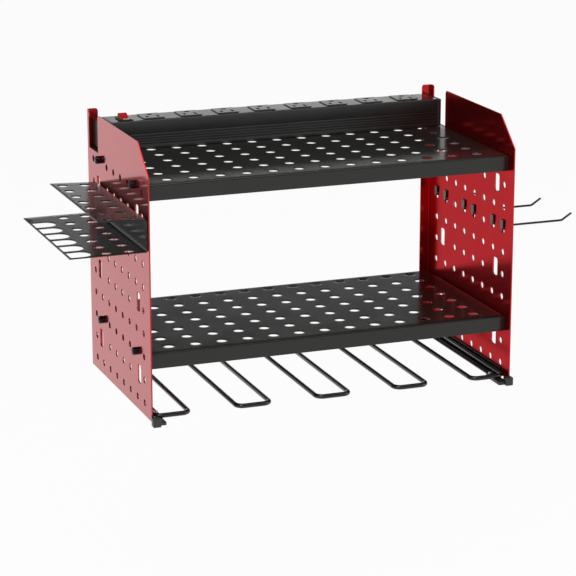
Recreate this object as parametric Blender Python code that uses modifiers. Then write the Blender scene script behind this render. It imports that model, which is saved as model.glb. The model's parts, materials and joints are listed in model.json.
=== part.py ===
"""Wall mounted power tool organizer.

Two perforated side panels carry two perforated shelves. A bent wire rack for drills lies on
rails at the panels' bottom edges, a bent plate rack for hand tools hooks on the left panel,
three peg hooks hang on the right panel, and a power strip stands on the upper shelf.

The frame: X runs to the right, the wall is the plane Y = 0 with the organizer on its -Y side,
and Z = 0 is the bottom edge of the side panels. All lengths are in metres.
"""

import math

import bmesh
import bpy
from mathutils import Matrix, Vector

# Fits and drawing steps
GAP = 0.0003
OVERRUN = 0.002
WELD = 0.00001
ARC_STEPS = 3
WINDOW_ARC_STEPS = 2
PEG_SIDES = 6
SHELF_HOLE_SIDES = 6
RACK_HOLE_SIDES = 6
FASTENER_SIDES = 6
INLET_SIDES = 12

# Side panels
PANEL_WIDTH_OVERALL = 0.417
PANEL_SHEET = 0.0015
PANEL_DEPTH = 0.2244
PANEL_HEIGHT = 0.294
PANEL_CORNER_RADIUS = 0.003
CHAMFER_RUN = 0.0361
CHAMFER_DROP = 0.0318
REAR_TAB_DEPTH = 0.008
NOTCH_LENGTH = 0.0345
NOTCH_DEPTH = 0.0418
WALL_FLANGE_WIDTH = 0.0125
WALL_FLANGE_RADIUS = 0.0025
WALL_SCREW_RADIUS = 0.003
WALL_SCREW_INSET = 0.007
LOWER_WALL_SCREW_HEIGHT = 0.035
UPPER_WALL_SCREW_DROP = 0.056
PEG_PITCH = 0.0254
PEG_RADIUS = 0.00375
PEG_COLUMNS = 8
PEG_FIRST_ROW = 0.014
PEG_MARGIN = 0.0015
WINDOW_WIDTH = 0.0115
WINDOW_HEIGHT = 0.0205
WINDOW_RADIUS = 0.003
WINDOW_SPACING = 0.1428
WINDOW_HEIGHTS = (0.041, 0.1207, 0.2162)

# Shelves
SHELF_SHEET = 0.0012
LOWER_SHELF_TOP = 0.0707
UPPER_SHELF_DROP = 0.0416
SHELF_SETBACK = 0.0122
SHELF_LIP = 0.017
SHELF_HOLE_RADIUS = 0.0055
SHELF_HOLE_PITCH = 0.0296
SHELF_HOLE_COLUMNS = 13
SHELF_HOLE_ROWS = 7
SHELF_HOLE_MARGIN = 0.0116
SHELF_BOLT_DROP = 0.0062
SHELF_BOLT_COLUMNS = {"rear": 1, "front": 6}

# Shelf bolts and nuts
BOLT_RADIUS = 0.0025
BOLT_HEAD_RADIUS = 0.0044
BOLT_HEAD_HEIGHT = 0.0025
BOLT_HEAD_CROWN = 0.001
BOLT_END_STAND = 0.0006
NUT_RADIUS = 0.0046
NUT_HEIGHT = 0.0047
NUT_CHAMFER = 0.0005

# Wire rack for drills
WIRE_RADIUS = 0.0026
WIRE_SIDE_CLEARANCE = 0.0004
WIRE_LOOPS = 5
LOOP_WIDTH = 0.038
LOOP_BEND_RADIUS = 0.008
WIRE_FRONT_SETBACK = 0.0049
WIRE_REAR_SETBACK = 0.045
WIRE_END_SETBACK = 0.018

# Rails that carry the wire rack
RAIL_SHEET = 0.0012
RAIL_LEG = 0.0092
RAIL_FOOT = 0.0134
RAIL_FRONT_SETBACK = 0.0194
RAIL_REAR_SETBACK = 0.015

# Corner clips at the front of the rails
CLIP_WIDTH = 0.009
CLIP_DEPTH = 0.0084
CLIP_HEIGHT = 0.0095
CLIP_DROP = 0.0045
CLIP_OUTSTAND = 0.0006
CLIP_JAW_WIDTH = 0.0105
CLIP_JAW_LAP = 0.010
CLIP_JAW_THICKNESS = 0.0037
CLIP_SCREW_RADIUS = 0.0014
CLIP_SCREW_HEAD_RADIUS = 0.0025
CLIP_SCREW_HEAD_HEIGHT = 0.0016
CLIP_SCREW_INSET = 0.0031

# Tool rack on the left panel
RACK_SHEET = 0.0012
RACK_RISE = 0.0026
RACK_HEIGHT = 0.0351
RACK_FRONT_LEAD = 0.0384
RACK_REAR_LEAD = 0.0058
RACK_UPPER_REACH = 0.050
RACK_LOWER_REACH = 0.0838
RACK_CORNER_RADIUS = 0.004
RACK_HOLE_RADIUS = 0.00525
RACK_HOLE_PITCH = 0.0272
RACK_HOLE_COLUMNS = 7
RACK_HOLE_MARGIN = 0.009
RACK_HOLE_ROWS = (0.018, 0.0425)
RACK_SLOTS = 6
RACK_SLOT_WIDTH = 0.0232
RACK_SLOT_WEB = 0.01025
RACK_SLOT_RIM = 0.0022
RACK_SLOT_MARGIN = 0.0024
RACK_SLOT_CORNER = 0.002
RACK_TAB_WIDTH = 0.0054
RACK_TAB_REACH = 0.008

# Peg hooks on the right panel
HOOK_ROW = 6
HOOK_SHEET = 0.0015
HOOK_TAB_WIDTH = 0.0065
HOOK_TAB_RISE = 0.0096
HOOK_NECK_WIDTH = 0.0045
HOOK_NECK_RISE = 0.002
HOOK_WAIST = 0.0016
HOOK_BAR_HEIGHT = 0.0026
HOOK_PLATE_WIDTH = 0.016
HOOK_PLATE_DROP = 0.0155
HOOK_PLATE_RADIUS = 0.004
PRONG_RADIUS = 0.00125
PRONG_DROP = 0.0008
PRONG_STRAIGHT = 0.0742
PRONG_TIP_RUN = 0.0122
PRONG_TIP_RISE = 0.0076
PRONG_BEND_RADIUS = 0.006

# Power strip housing
STRIP_END_CLEARANCE = 0.004
STRIP_DEPTH = 0.038
STRIP_HEIGHT = 0.0315
STRIP_WALL_CLEARANCE = 0.002
STRIP_WALL = 0.0018
STRIP_BASE_HEIGHT = 0.0168
STRIP_EDGE_RADIUS = 0.0015
STRIP_CAP_THICKNESS = 0.0045
STRIP_FLOOR = 0.0023
GROOVES = 4
GROOVE_PITCH = 0.0029
GROOVE_WIDTH = 0.0011
GROOVE_DEPTH = 0.0008
GROOVE_TOP_MARGIN = 0.0026

# Outlets and what lies under them
OUTLETS = 8
OUTLET_END_MARGIN = 0.0262
OUTLET_SWITCH_SPACE = 0.0123
OUTLET_FACE_LENGTH = 0.025
OUTLET_FACE_DEPTH = 0.0262
OUTLET_FACE_THICKNESS = 0.003
OUTLET_FACE_RISE = 0.001
OUTLET_FACE_RADIUS = 0.0015
OUTLET_REAR_SHIFT = 0.002
LIVE_SLOT_LENGTH = 0.0065
NEUTRAL_SLOT_LENGTH = 0.0085
BLADE_SLOT_WIDTH = 0.0022
BLADE_SPACING = 0.0127
BLADE_OFFSET = 0.0058
GROUND_RADIUS = 0.0026
GROUND_OFFSET = 0.0061
CARRIER_UPRIGHT = 0.0024
CARRIER_SETBACK = 0.0005
CARRIER_FLOOR = 0.0018
CARRIER_FLOOR_HEIGHT = 0.0027
CARRIER_RIB = 0.0008
CARRIER_RIB_HEIGHT = 0.006
BUS_BAR_THICKNESS = 0.0008
BUS_BAR_HEIGHT = 0.009
BUS_BAR_END_SETBACK = 0.003
BUS_BAR_SPACING = 0.0044

# Rocker switch at the left end of the strip
SWITCH_END_MARGIN = 0.0305
SWITCH_FRONT_MARGIN = 0.004
BEZEL_LENGTH = 0.015
BEZEL_DEPTH = 0.025
BEZEL_FLANGE = 0.0011
BEZEL_BODY_LENGTH = 0.0138
BEZEL_BODY_DEPTH = 0.0238
BEZEL_BODY_HEIGHT = 0.0072
BEZEL_OPENING_LENGTH = 0.011
BEZEL_OPENING_DEPTH = 0.0218
BEZEL_RADIUS = 0.0012
ROCKER_SIDE_CLEARANCE = 0.0003
ROCKER_HALF_DEPTH = 0.0095
ROCKER_CROWN = 0.006
ROCKER_DISH = 0.0012
ROCKER_SKIRT = 0.0012
ROCKER_TONGUE_RADIUS = 0.0036
ROCKER_PIVOT_DROP = 0.0022
ROCKER_REST_ANGLE = math.radians(-12)
ROCKER_PIN_RADIUS = 0.0012
ROCKER_PIN_SEAT = 0.0007
SWITCH_BODY_LENGTH = 0.0126
SWITCH_BODY_DEPTH = 0.018
SWITCH_BODY_HEIGHT = 0.014

# Cord inlet in the right end cap
INLET_RADIUS = 0.0058
INLET_BORE_RADIUS = 0.0038
INLET_FLANGE_RADIUS = 0.0072
INLET_FLANGE = 0.0012
INLET_HEIGHT = 0.013

# Screws that hold the strip on the upper shelf
FIXING_COLUMNS = (4, -4)
FIXING_RADIUS = 0.00175
FIXING_HEAD_RADIUS = 0.0035
FIXING_HEAD_HEIGHT = 0.0018
FIXING_END = 0.001
FIXING_FLANGE_RADIUS = 0.0078
FIXING_FLANGE = 0.001
FIXING_NUT_RADIUS = 0.0036
FIXING_NUT_HEIGHT = 0.0028
KEYHOLE_RADIUS = 0.0042
KEYHOLE_SLOT = 0.0085

# Places that several pieces share
PANEL_OUTER = PANEL_WIDTH_OVERALL / 2
PANEL_INNER = PANEL_OUTER - PANEL_SHEET
NOTCH_FLOOR = PANEL_HEIGHT - NOTCH_DEPTH
UPPER_SHELF_TOP = PANEL_HEIGHT - UPPER_SHELF_DROP
SHELF_HALF_WIDTH = PANEL_INNER - GAP
SHELF_FRONT = -PANEL_DEPTH + SHELF_SETBACK
SHELF_REAR = -PANEL_SHEET - GAP
WINDOW_DEPTHS = [-PANEL_DEPTH / 2 + side * WINDOW_SPACING / 2 for side in (1, -1)]
WINDOWS_THAT_FIT = [z for z in WINDOW_HEIGHTS if z + WINDOW_HEIGHT / 2 + PEG_MARGIN < NOTCH_FLOOR]
BOLT_HOLE_RADIUS = BOLT_RADIUS + GAP
RAIL_FACE = PANEL_INNER - GAP
WIRE_OUTER_ARM = RAIL_FACE - RAIL_SHEET - WIRE_SIDE_CLEARANCE - WIRE_RADIUS
WIRE_HEIGHT = RAIL_SHEET + GAP + WIRE_RADIUS
RACK_FACE = PANEL_OUTER + GAP
RACK_FRONT = min(WINDOW_DEPTHS) - RACK_FRONT_LEAD
RACK_REAR = max(WINDOW_DEPTHS) + RACK_REAR_LEAD
RACK_TOP = max(WINDOWS_THAT_FIT) + RACK_RISE
STRIP_REAR = -STRIP_WALL_CLEARANCE
STRIP_FRONT = STRIP_REAR - STRIP_DEPTH
STRIP_MIDDLE = (STRIP_REAR + STRIP_FRONT) / 2
STRIP_BOTTOM = UPPER_SHELF_TOP + GAP
STRIP_TOP = STRIP_BOTTOM + STRIP_HEIGHT
STRIP_HALF = PANEL_INNER - STRIP_END_CLEARANCE
STRIP_INNER_HALF = STRIP_HALF - STRIP_CAP_THICKNESS - GAP
SWITCH_X = -STRIP_HALF + SWITCH_END_MARGIN
OUTLET_ROW_END = STRIP_HALF - OUTLET_END_MARGIN
OUTLET_ROW_START = SWITCH_X + BEZEL_LENGTH / 2 + OUTLET_SWITCH_SPACE
OUTLET_PITCH = (OUTLET_ROW_END - OUTLET_ROW_START - OUTLET_FACE_LENGTH) / (OUTLETS - 1)
FIRST_OUTLET = OUTLET_ROW_START + OUTLET_FACE_LENGTH / 2
OUTLET_MIDDLE = STRIP_MIDDLE + OUTLET_REAR_SHIFT
BLADE_LINE = OUTLET_MIDDLE - BLADE_OFFSET
GROUND_LINE = OUTLET_MIDDLE + GROUND_OFFSET
CARRIER_BOTTOM = STRIP_BOTTOM + STRIP_FLOOR + GAP
CARRIER_TOP = STRIP_TOP - OUTLET_FACE_THICKNESS - GAP
BUS_BAR_DEPTHS = {
    "live_bus_bar": BLADE_LINE - BUS_BAR_SPACING / 2,
    "neutral_bus_bar": BLADE_LINE + BUS_BAR_SPACING / 2,
    "ground_bus_bar": GROUND_LINE,
}
SWITCH_Y = STRIP_FRONT + SWITCH_FRONT_MARGIN + BEZEL_DEPTH / 2
ROCKER_Z = STRIP_TOP - ROCKER_PIVOT_DROP

# Finishes: name, colour, roughness, metallic
FINISHES = {
    "red_panel": ((0.34, 0.012, 0.020), 0.26, 0.55),
    "black_sheet": ((0.030, 0.030, 0.028), 0.34, 0.20),
    "black_wire": ((0.012, 0.012, 0.012), 0.22, 0.30),
    "strip_plastic": ((0.018, 0.018, 0.017), 0.42, 0.0),
    "switch_red": ((0.62, 0.010, 0.012), 0.30, 0.0),
    "grey_clip": ((0.16, 0.16, 0.155), 0.50, 0.0),
    "black_fastener": ((0.020, 0.020, 0.020), 0.38, 0.60),
    "zinc": ((0.55, 0.55, 0.53), 0.35, 1.0),
    "copper_alloy": ((0.62, 0.42, 0.16), 0.30, 1.0),
}

SIDES = {"right": 1, "left": -1}
MODEL = "wall_tool_organizer"
CUTTERS = "cutters"


def clear_scene():
    for item in list(bpy.data.objects):
        bpy.data.objects.remove(item, do_unlink=True)


def collection(name):
    found = bpy.data.collections.get(name)
    if found is None:
        found = bpy.data.collections.new(name)
        bpy.context.scene.collection.children.link(found)
    return found


def finish(name):
    """The Principled material of one of the finishes."""
    found = bpy.data.materials.get(name)
    if found is None:
        colour, roughness, metallic = FINISHES[name]
        found = bpy.data.materials.new(name)
        found.use_nodes = True
        shader = found.node_tree.nodes["Principled BSDF"]
        shader.inputs["Base Color"].default_value = (*colour, 1.0)
        shader.inputs["Roughness"].default_value = roughness
        shader.inputs["Metallic"].default_value = metallic
        found.diffuse_color = (*colour, 1.0)
    return found


def keep(name, mesh, finish_name, group=MODEL):
    """An object for a sub-part, in the model's collection, with its finish."""
    mesh.name = name
    thing = bpy.data.objects.new(name, mesh)
    collection(group).objects.link(thing)
    mesh.materials.clear()
    mesh.materials.append(finish(finish_name))
    return thing


def cutter(name, mesh):
    """A helper body for Boolean modifiers, left out of renders and of the model."""
    mesh.name = name
    thing = bpy.data.objects.new(name, mesh)
    collection(CUTTERS).objects.link(thing)
    thing.hide_render = True
    thing.display_type = "WIRE"
    return thing


def boolean(thing, other, operation):
    step = thing.modifiers.new(other.name, "BOOLEAN")
    step.operation = operation
    step.solver = "EXACT"
    step.object = other


def evaluated_mesh(data, modifiers=()):
    """A mesh from a curve, or from a mesh with modifiers, with its doubles welded."""
    thing = bpy.data.objects.new("draft", data)
    bpy.context.scene.collection.objects.link(thing)
    for kind, settings in modifiers:
        step = thing.modifiers.new(kind, kind)
        for setting, value in settings.items():
            setattr(step, setting, value)
    view = bpy.context.evaluated_depsgraph_get()
    mesh = bpy.data.meshes.new_from_object(thing.evaluated_get(view))
    bpy.data.objects.remove(thing)
    shape = bmesh.new()
    shape.from_mesh(mesh)
    bmesh.ops.remove_doubles(shape, verts=shape.verts, dist=WELD)
    shape.to_mesh(mesh)
    shape.free()
    return mesh


def joined(meshes):
    """One mesh that holds several, still as separate bodies."""
    shape = bmesh.new()
    for mesh in meshes:
        shape.from_mesh(mesh)
    whole = bpy.data.meshes.new("joined")
    shape.to_mesh(whole)
    shape.free()
    return whole


def plane(origin, across, up):
    """The matrix that puts a flat drawing at origin, its x along across and its y along up."""
    across, up = Vector(across), Vector(up)
    matrix = Matrix((across, up, across.cross(up))).transposed().to_4x4()
    matrix.translation = origin
    return matrix


def side_plane(x):
    """A drawing of (Y, Z) on the plane at x, facing +X."""
    return plane((x, 0, 0), (0, 1, 0), (0, 0, 1))


def wall_plane(y):
    """A drawing of (X, Z) on the plane at y, facing -Y."""
    return plane((0, y, 0), (1, 0, 0), (0, 0, 1))


def level_plane(z):
    """A drawing of (X, Y) on the plane at z, facing +Z."""
    return plane((0, 0, z), (1, 0, 0), (0, 1, 0))


def ring(x, y, radius, sides):
    """A regular polygon of this radius, flat side up."""
    turns = [2 * math.pi * (step + 0.5) / sides for step in range(sides)]
    return [(x + radius * math.cos(turn), y + radius * math.sin(turn)) for turn in turns]


def rounded_corners(corners, closed=True, steps=ARC_STEPS):
    """The points of an outline whose corners (x, y, radius) are drawn as arcs."""
    points = []
    last = len(corners) - 1
    for index, (x, y, radius) in enumerate(corners):
        here = Vector((x, y))
        if not radius or (not closed and index in (0, last)):
            points.append((x, y))
            continue
        back = (Vector(corners[index - 1][:2]) - here).normalized()
        ahead = (Vector(corners[(index + 1) % len(corners)][:2]) - here).normalized()
        half_angle = back.angle(ahead) / 2
        centre = here + (back + ahead).normalized() * radius / math.sin(half_angle)
        start = here + back * radius / math.tan(half_angle) - centre
        side = 1 if back.cross(ahead) < 0 else -1
        sweep = side * (math.pi - 2 * half_angle)
        for step in range(steps + 1):
            turn = math.atan2(start.y, start.x) + sweep * step / steps
            points.append((centre.x + radius * math.cos(turn), centre.y + radius * math.sin(turn)))
    return points


def box_outline(x0, y0, x1, y1, radius=0, steps=ARC_STEPS):
    corners = [(x0, y0, radius), (x1, y0, radius), (x1, y1, radius), (x0, y1, radius)]
    return rounded_corners(corners, steps=steps)


def drawing(outline, holes=(), thickness=0):
    """A flat outline with holes, filled: a surface, or a plate centred on the drawing plane."""
    curve = bpy.data.curves.new("drawing", "CURVE")
    curve.dimensions = "2D"
    curve.fill_mode = "BOTH"
    curve.extrude = thickness / 2
    for points in (outline, *holes):
        spline = curve.splines.new("POLY")
        spline.points.add(len(points) - 1)
        for knot, (x, y) in zip(spline.points, points):
            knot.co = (x, y, 0, 1)
        spline.use_cyclic_u = True
    return evaluated_mesh(curve)


def plate(outline, holes, matrix, near, far):
    """A solid between two distances along the normal of its drawing plane."""
    mesh = drawing(outline, holes, abs(far - near))
    mesh.transform(matrix @ Matrix.Translation((0, 0, (near + far) / 2)))
    return mesh


def leaf(outline, holes, matrix):
    """One flat leaf of a folded sheet, facing along its drawing plane's normal."""
    mesh = drawing(outline, holes)
    mesh.transform(matrix)
    normal = matrix.to_3x3().col[2]
    shape = bmesh.new()
    shape.from_mesh(mesh)
    inner = [edge for edge in shape.edges if not edge.is_boundary]
    bmesh.ops.beautify_fill(shape, faces=shape.faces, edges=inner, method="ANGLE")
    shape.normal_update()
    bmesh.ops.reverse_faces(shape, faces=[face for face in shape.faces if face.normal.dot(normal) < 0])
    shape.to_mesh(mesh)
    shape.free()
    return mesh


def folded_sheet(leaves):
    """Flat leaves welded along their folds. Each leaf lies on the outer side of the sheet."""
    shape = bmesh.new()
    for mesh in leaves:
        shape.from_mesh(mesh)
    bmesh.ops.remove_doubles(shape, verts=shape.verts, dist=WELD)
    whole = bpy.data.meshes.new("sheet")
    shape.to_mesh(whole)
    shape.free()
    return whole


def thicken(thing, thickness):
    """Solidify inwards from the outer side of a folded sheet."""
    step = thing.modifiers.new("thickness", "SOLIDIFY")
    step.thickness = thickness
    step.offset = -1
    step.use_even_offset = True
    step.use_quality_normals = True


def mirrored(mesh):
    """The same mesh for the left side, with its faces still pointing out."""
    copy = mesh.copy()
    shape = bmesh.new()
    shape.from_mesh(copy)
    shape.transform(Matrix.Scale(-1, 4, (1, 0, 0)))
    bmesh.ops.reverse_faces(shape, faces=shape.faces)
    shape.to_mesh(copy)
    shape.free()
    return copy


def turned(profile, sides):
    """A solid of revolution about Z. The profile (radius, z) runs down its outer side."""
    line = bpy.data.meshes.new("profile")
    edges = [(index, index + 1) for index in range(len(profile) - 1)]
    line.from_pydata([(radius, 0, z) for radius, z in profile], edges, [])
    settings = {
        "steps": sides,
        "render_steps": sides,
        "use_merge_vertices": True,
        "merge_threshold": WELD,
    }
    return evaluated_mesh(line, [("SCREW", settings)])


def rod(points, radius, bevel_resolution=2):
    """A round rod with closed ends along points in space."""
    curve = bpy.data.curves.new("rod", "CURVE")
    curve.dimensions = "3D"
    curve.bevel_depth = radius
    curve.bevel_resolution = bevel_resolution
    curve.use_fill_caps = True
    spline = curve.splines.new("POLY")
    spline.points.add(len(points) - 1)
    for knot, point in zip(spline.points, points):
        knot.co = (*point, 1)
    return evaluated_mesh(curve)


def smooth(mesh, angle=math.radians(40)):
    mesh.shade_smooth()
    mesh.set_sharp_from_angle(angle=angle)
    return mesh


def placed(mesh, matrix):
    """A copy of a mesh, moved by a matrix."""
    copy = mesh.copy()
    copy.transform(matrix)
    return copy


def peg_column(column):
    """Y of a column of peg holes, counted from the wall."""
    return -PANEL_DEPTH / 2 + ((PEG_COLUMNS - 1) / 2 - column) * PEG_PITCH


def peg_row(row):
    """Z of a row of peg holes, counted from the bottom."""
    return PEG_FIRST_ROW + row * PEG_PITCH


def shelf_hole_column(column):
    """X of a column of shelf holes, counted from the middle."""
    return column * SHELF_HOLE_PITCH


def shelf_hole_row(row):
    """Y of a row of shelf holes, counted from the wall."""
    return SHELF_REAR - SHELF_HOLE_MARGIN - row * SHELF_HOLE_PITCH


def bolt_places():
    """The shelf bolts of one side: shelf and place in words, and (Y, Z)."""
    tops = {"lower": LOWER_SHELF_TOP, "upper": UPPER_SHELF_TOP}
    return {
        (shelf, place): (peg_column(column), top - SHELF_BOLT_DROP)
        for shelf, top in tops.items()
        for place, column in SHELF_BOLT_COLUMNS.items()
    }


def window_places():
    """(Y, Z) of the middles of the rounded windows."""
    return [(y, z) for y in WINDOW_DEPTHS for z in WINDOWS_THAT_FIT]


def peg_is_free(y, z):
    """True where a peg hole leaves material to the windows, the bolt holes and the edges."""
    need = PEG_RADIUS + PEG_MARGIN
    if z + need > NOTCH_FLOOR:
        return False
    for window_y, window_z in window_places():
        if abs(y - window_y) < WINDOW_WIDTH / 2 + need and abs(z - window_z) < WINDOW_HEIGHT / 2 + need:
            return False
    for bolt_y, bolt_z in bolt_places().values():
        if math.hypot(y - bolt_y, z - bolt_z) < BOLT_HOLE_RADIUS + need:
            return False
    return -PANEL_DEPTH + need < y < -need


def hook_columns():
    """The rear one of the two peg columns that each hook hangs in."""
    free = [column for column in range(PEG_COLUMNS) if peg_is_free(peg_column(column), peg_row(HOOK_ROW))]
    return {"rear": free[0], "middle": free[len(free) // 2 - 1], "front": free[-2]}


def panel_sheet():
    """The right panel's web and wall flange, as one folded surface."""
    notch_front = REAR_TAB_DEPTH + NOTCH_LENGTH
    web = rounded_corners([
        (0, 0, 0),
        (0, PANEL_HEIGHT, 0),
        (-REAR_TAB_DEPTH, PANEL_HEIGHT, PANEL_CORNER_RADIUS),
        (-REAR_TAB_DEPTH, NOTCH_FLOOR, PANEL_CORNER_RADIUS),
        (-notch_front, NOTCH_FLOOR, PANEL_CORNER_RADIUS),
        (-notch_front, PANEL_HEIGHT, PANEL_CORNER_RADIUS),
        (-PANEL_DEPTH + CHAMFER_RUN, PANEL_HEIGHT, PANEL_CORNER_RADIUS),
        (-PANEL_DEPTH, PANEL_HEIGHT - CHAMFER_DROP, PANEL_CORNER_RADIUS),
        (-PANEL_DEPTH, 0, PANEL_CORNER_RADIUS),
    ])
    rows = int((NOTCH_FLOOR - PEG_FIRST_ROW) / PEG_PITCH) + 1
    pegs = [(peg_column(column), peg_row(row)) for row in range(rows) for column in range(PEG_COLUMNS)]
    holes = [ring(y, z, PEG_RADIUS, PEG_SIDES) for y, z in pegs if peg_is_free(y, z)]
    holes += [ring(y, z, BOLT_HOLE_RADIUS, FASTENER_SIDES) for y, z in bolt_places().values()]
    for y, z in window_places():
        half_width, half_height = WINDOW_WIDTH / 2, WINDOW_HEIGHT / 2
        corners = (y - half_width, z - half_height, y + half_width, z + half_height)
        holes.append(box_outline(*corners, WINDOW_RADIUS, WINDOW_ARC_STEPS))
    flange_edge = PANEL_OUTER - WALL_FLANGE_WIDTH
    flange = rounded_corners([
        (PANEL_OUTER, 0, 0),
        (flange_edge, 0, 0),
        (flange_edge, PANEL_HEIGHT, WALL_FLANGE_RADIUS),
        (PANEL_OUTER, PANEL_HEIGHT, 0),
    ])
    screw_x = PANEL_OUTER - WALL_SCREW_INSET
    screw_heights = (LOWER_WALL_SCREW_HEIGHT, PANEL_HEIGHT - UPPER_WALL_SCREW_DROP)
    screws = [ring(-screw_x, z, WALL_SCREW_RADIUS, FASTENER_SIDES) for z in screw_heights]
    back = plane((0, 0, 0), (-1, 0, 0), (0, 0, 1))
    flange = [(-x, z) for x, z in flange]
    return folded_sheet([leaf(web, holes, side_plane(PANEL_OUTER)), leaf(flange, screws, back)])


def make_side_panels():
    right = panel_sheet()
    thicken(keep("right_side_panel", right, "red_panel"), PANEL_SHEET)
    thicken(keep("left_side_panel", mirrored(right), "red_panel"), PANEL_SHEET)


def make_shelf(name, top):
    """A perforated tray turned upside down: a flat top with four edges folded down."""
    width, bottom = SHELF_HALF_WIDTH, top - SHELF_LIP
    reach = SHELF_HOLE_RADIUS + SHELF_SHEET
    half_columns = SHELF_HOLE_COLUMNS // 2
    holes = []
    for column in range(-half_columns, half_columns + 1):
        for row in range(SHELF_HOLE_ROWS):
            x, y = shelf_hole_column(column), shelf_hole_row(row)
            if abs(x) < width - reach and SHELF_FRONT + reach < y < SHELF_REAR - reach:
                holes.append(ring(x, y, SHELF_HOLE_RADIUS, SHELF_HOLE_SIDES))
    bolts = [
        ring(peg_column(column), top - SHELF_BOLT_DROP, BOLT_HOLE_RADIUS, FASTENER_SIDES)
        for column in SHELF_BOLT_COLUMNS.values()
    ]
    across = box_outline(-width, bottom, width, top)
    along = box_outline(SHELF_FRONT, bottom, SHELF_REAR, top)
    left_plane = plane((-width, 0, 0), (0, -1, 0), (0, 0, 1))
    rear_plane = plane((0, SHELF_REAR, 0), (-1, 0, 0), (0, 0, 1))
    leaves = [
        leaf(box_outline(-width, SHELF_FRONT, width, SHELF_REAR), holes, level_plane(top)),
        leaf(across, (), wall_plane(SHELF_FRONT)),
        leaf(across, (), rear_plane),
        leaf(along, bolts, side_plane(width)),
        leaf([(-y, z) for y, z in along], [[(-y, z) for y, z in hole] for hole in bolts], left_plane),
    ]
    thicken(keep(name, folded_sheet(leaves), "black_sheet"), SHELF_SHEET)


def outward(side, x, y, z):
    """Puts a turned piece, drawn along Z, with its axis pointing out of the right or left side."""
    return Matrix.Translation((side * x, y, z)) @ Matrix.Rotation(side * math.pi / 2, 4, "Y")


def make_shelf_fasteners():
    """Bolts with their heads inside the shelf edges, and nuts outside the panels."""
    seat = SHELF_HALF_WIDTH - SHELF_SHEET - GAP
    nut_seat = PANEL_OUTER + GAP
    length = nut_seat - seat + NUT_HEIGHT + BOLT_END_STAND
    bolt = turned([
        (0, length),
        (BOLT_RADIUS, length),
        (BOLT_RADIUS, 0),
        (BOLT_HEAD_RADIUS, 0),
        (BOLT_HEAD_RADIUS, -BOLT_HEAD_HEIGHT + BOLT_HEAD_CROWN),
        (BOLT_HEAD_RADIUS - BOLT_HEAD_CROWN, -BOLT_HEAD_HEIGHT),
        (0, -BOLT_HEAD_HEIGHT),
    ], FASTENER_SIDES)
    bore = (BOLT_RADIUS + GAP) / math.cos(math.pi / FASTENER_SIDES)
    nut = turned([
        (bore, NUT_HEIGHT),
        (NUT_RADIUS - NUT_CHAMFER, NUT_HEIGHT),
        (NUT_RADIUS, NUT_HEIGHT - NUT_CHAMFER),
        (NUT_RADIUS, 0),
        (bore, 0),
        (bore, NUT_HEIGHT),
    ], FASTENER_SIDES)
    for side, sign in SIDES.items():
        for (shelf, place), (y, z) in bolt_places().items():
            name = "_".join((side, shelf, place))
            keep(name + "_bolt", placed(smooth(bolt), outward(sign, seat, y, z)), "zinc")
            keep(name + "_nut", placed(nut, outward(sign, nut_seat, y, z)), "black_fastener")


def make_rack_rails():
    """An angle inside each panel's bottom edge: a leg up the panel and a foot under the wire."""
    front, rear = -PANEL_DEPTH + RAIL_FRONT_SETBACK, -RAIL_REAR_SETBACK
    leg = box_outline(front, 0, rear, RAIL_LEG)
    edge = RAIL_FACE - RAIL_FOOT
    screw_y = -clip_screw_y()
    screw = ring(clip_screw_x(), screw_y, CLIP_SCREW_RADIUS + GAP, FASTENER_SIDES)
    foot = box_outline(edge, -front, RAIL_FACE, -rear)
    below = plane((0, 0, 0), (1, 0, 0), (0, -1, 0))
    right = folded_sheet([leaf(leg, (), side_plane(RAIL_FACE)), leaf(foot, [screw], below)])
    thicken(keep("right_rack_rail", right, "black_sheet"), RAIL_SHEET)
    thicken(keep("left_rack_rail", mirrored(right), "black_sheet"), RAIL_SHEET)


def clip_screw_x():
    return RAIL_FACE - RAIL_FOOT + CLIP_SCREW_INSET


def clip_screw_y():
    return -PANEL_DEPTH + RAIL_FRONT_SETBACK + CLIP_JAW_LAP / 2


def drill_wire_route():
    """(X, Y) corners of the serpentine wire, from the left end to the right end."""
    front = -PANEL_DEPTH + WIRE_FRONT_SETBACK
    pitch = (2 * WIRE_OUTER_ARM - LOOP_WIDTH) / (WIRE_LOOPS - 1)
    corners = []
    for loop in range(WIRE_LOOPS):
        middle = (loop - (WIRE_LOOPS - 1) / 2) * pitch
        for side in (-1, 1):
            run = [(middle + side * LOOP_WIDTH / 2, y, LOOP_BEND_RADIUS) for y in (-WIRE_REAR_SETBACK, front)]
            corners += run if side < 0 else run[::-1]
    corners[0] = (corners[0][0], -WIRE_END_SETBACK, 0)
    corners[-1] = (corners[-1][0], -WIRE_END_SETBACK, 0)
    return rounded_corners(corners, closed=False)


def make_drill_wire():
    route = [(x, y, WIRE_HEIGHT) for x, y in drill_wire_route()]
    keep("drill_rack_wire", smooth(rod(route, WIRE_RADIUS)), "black_wire")


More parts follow.
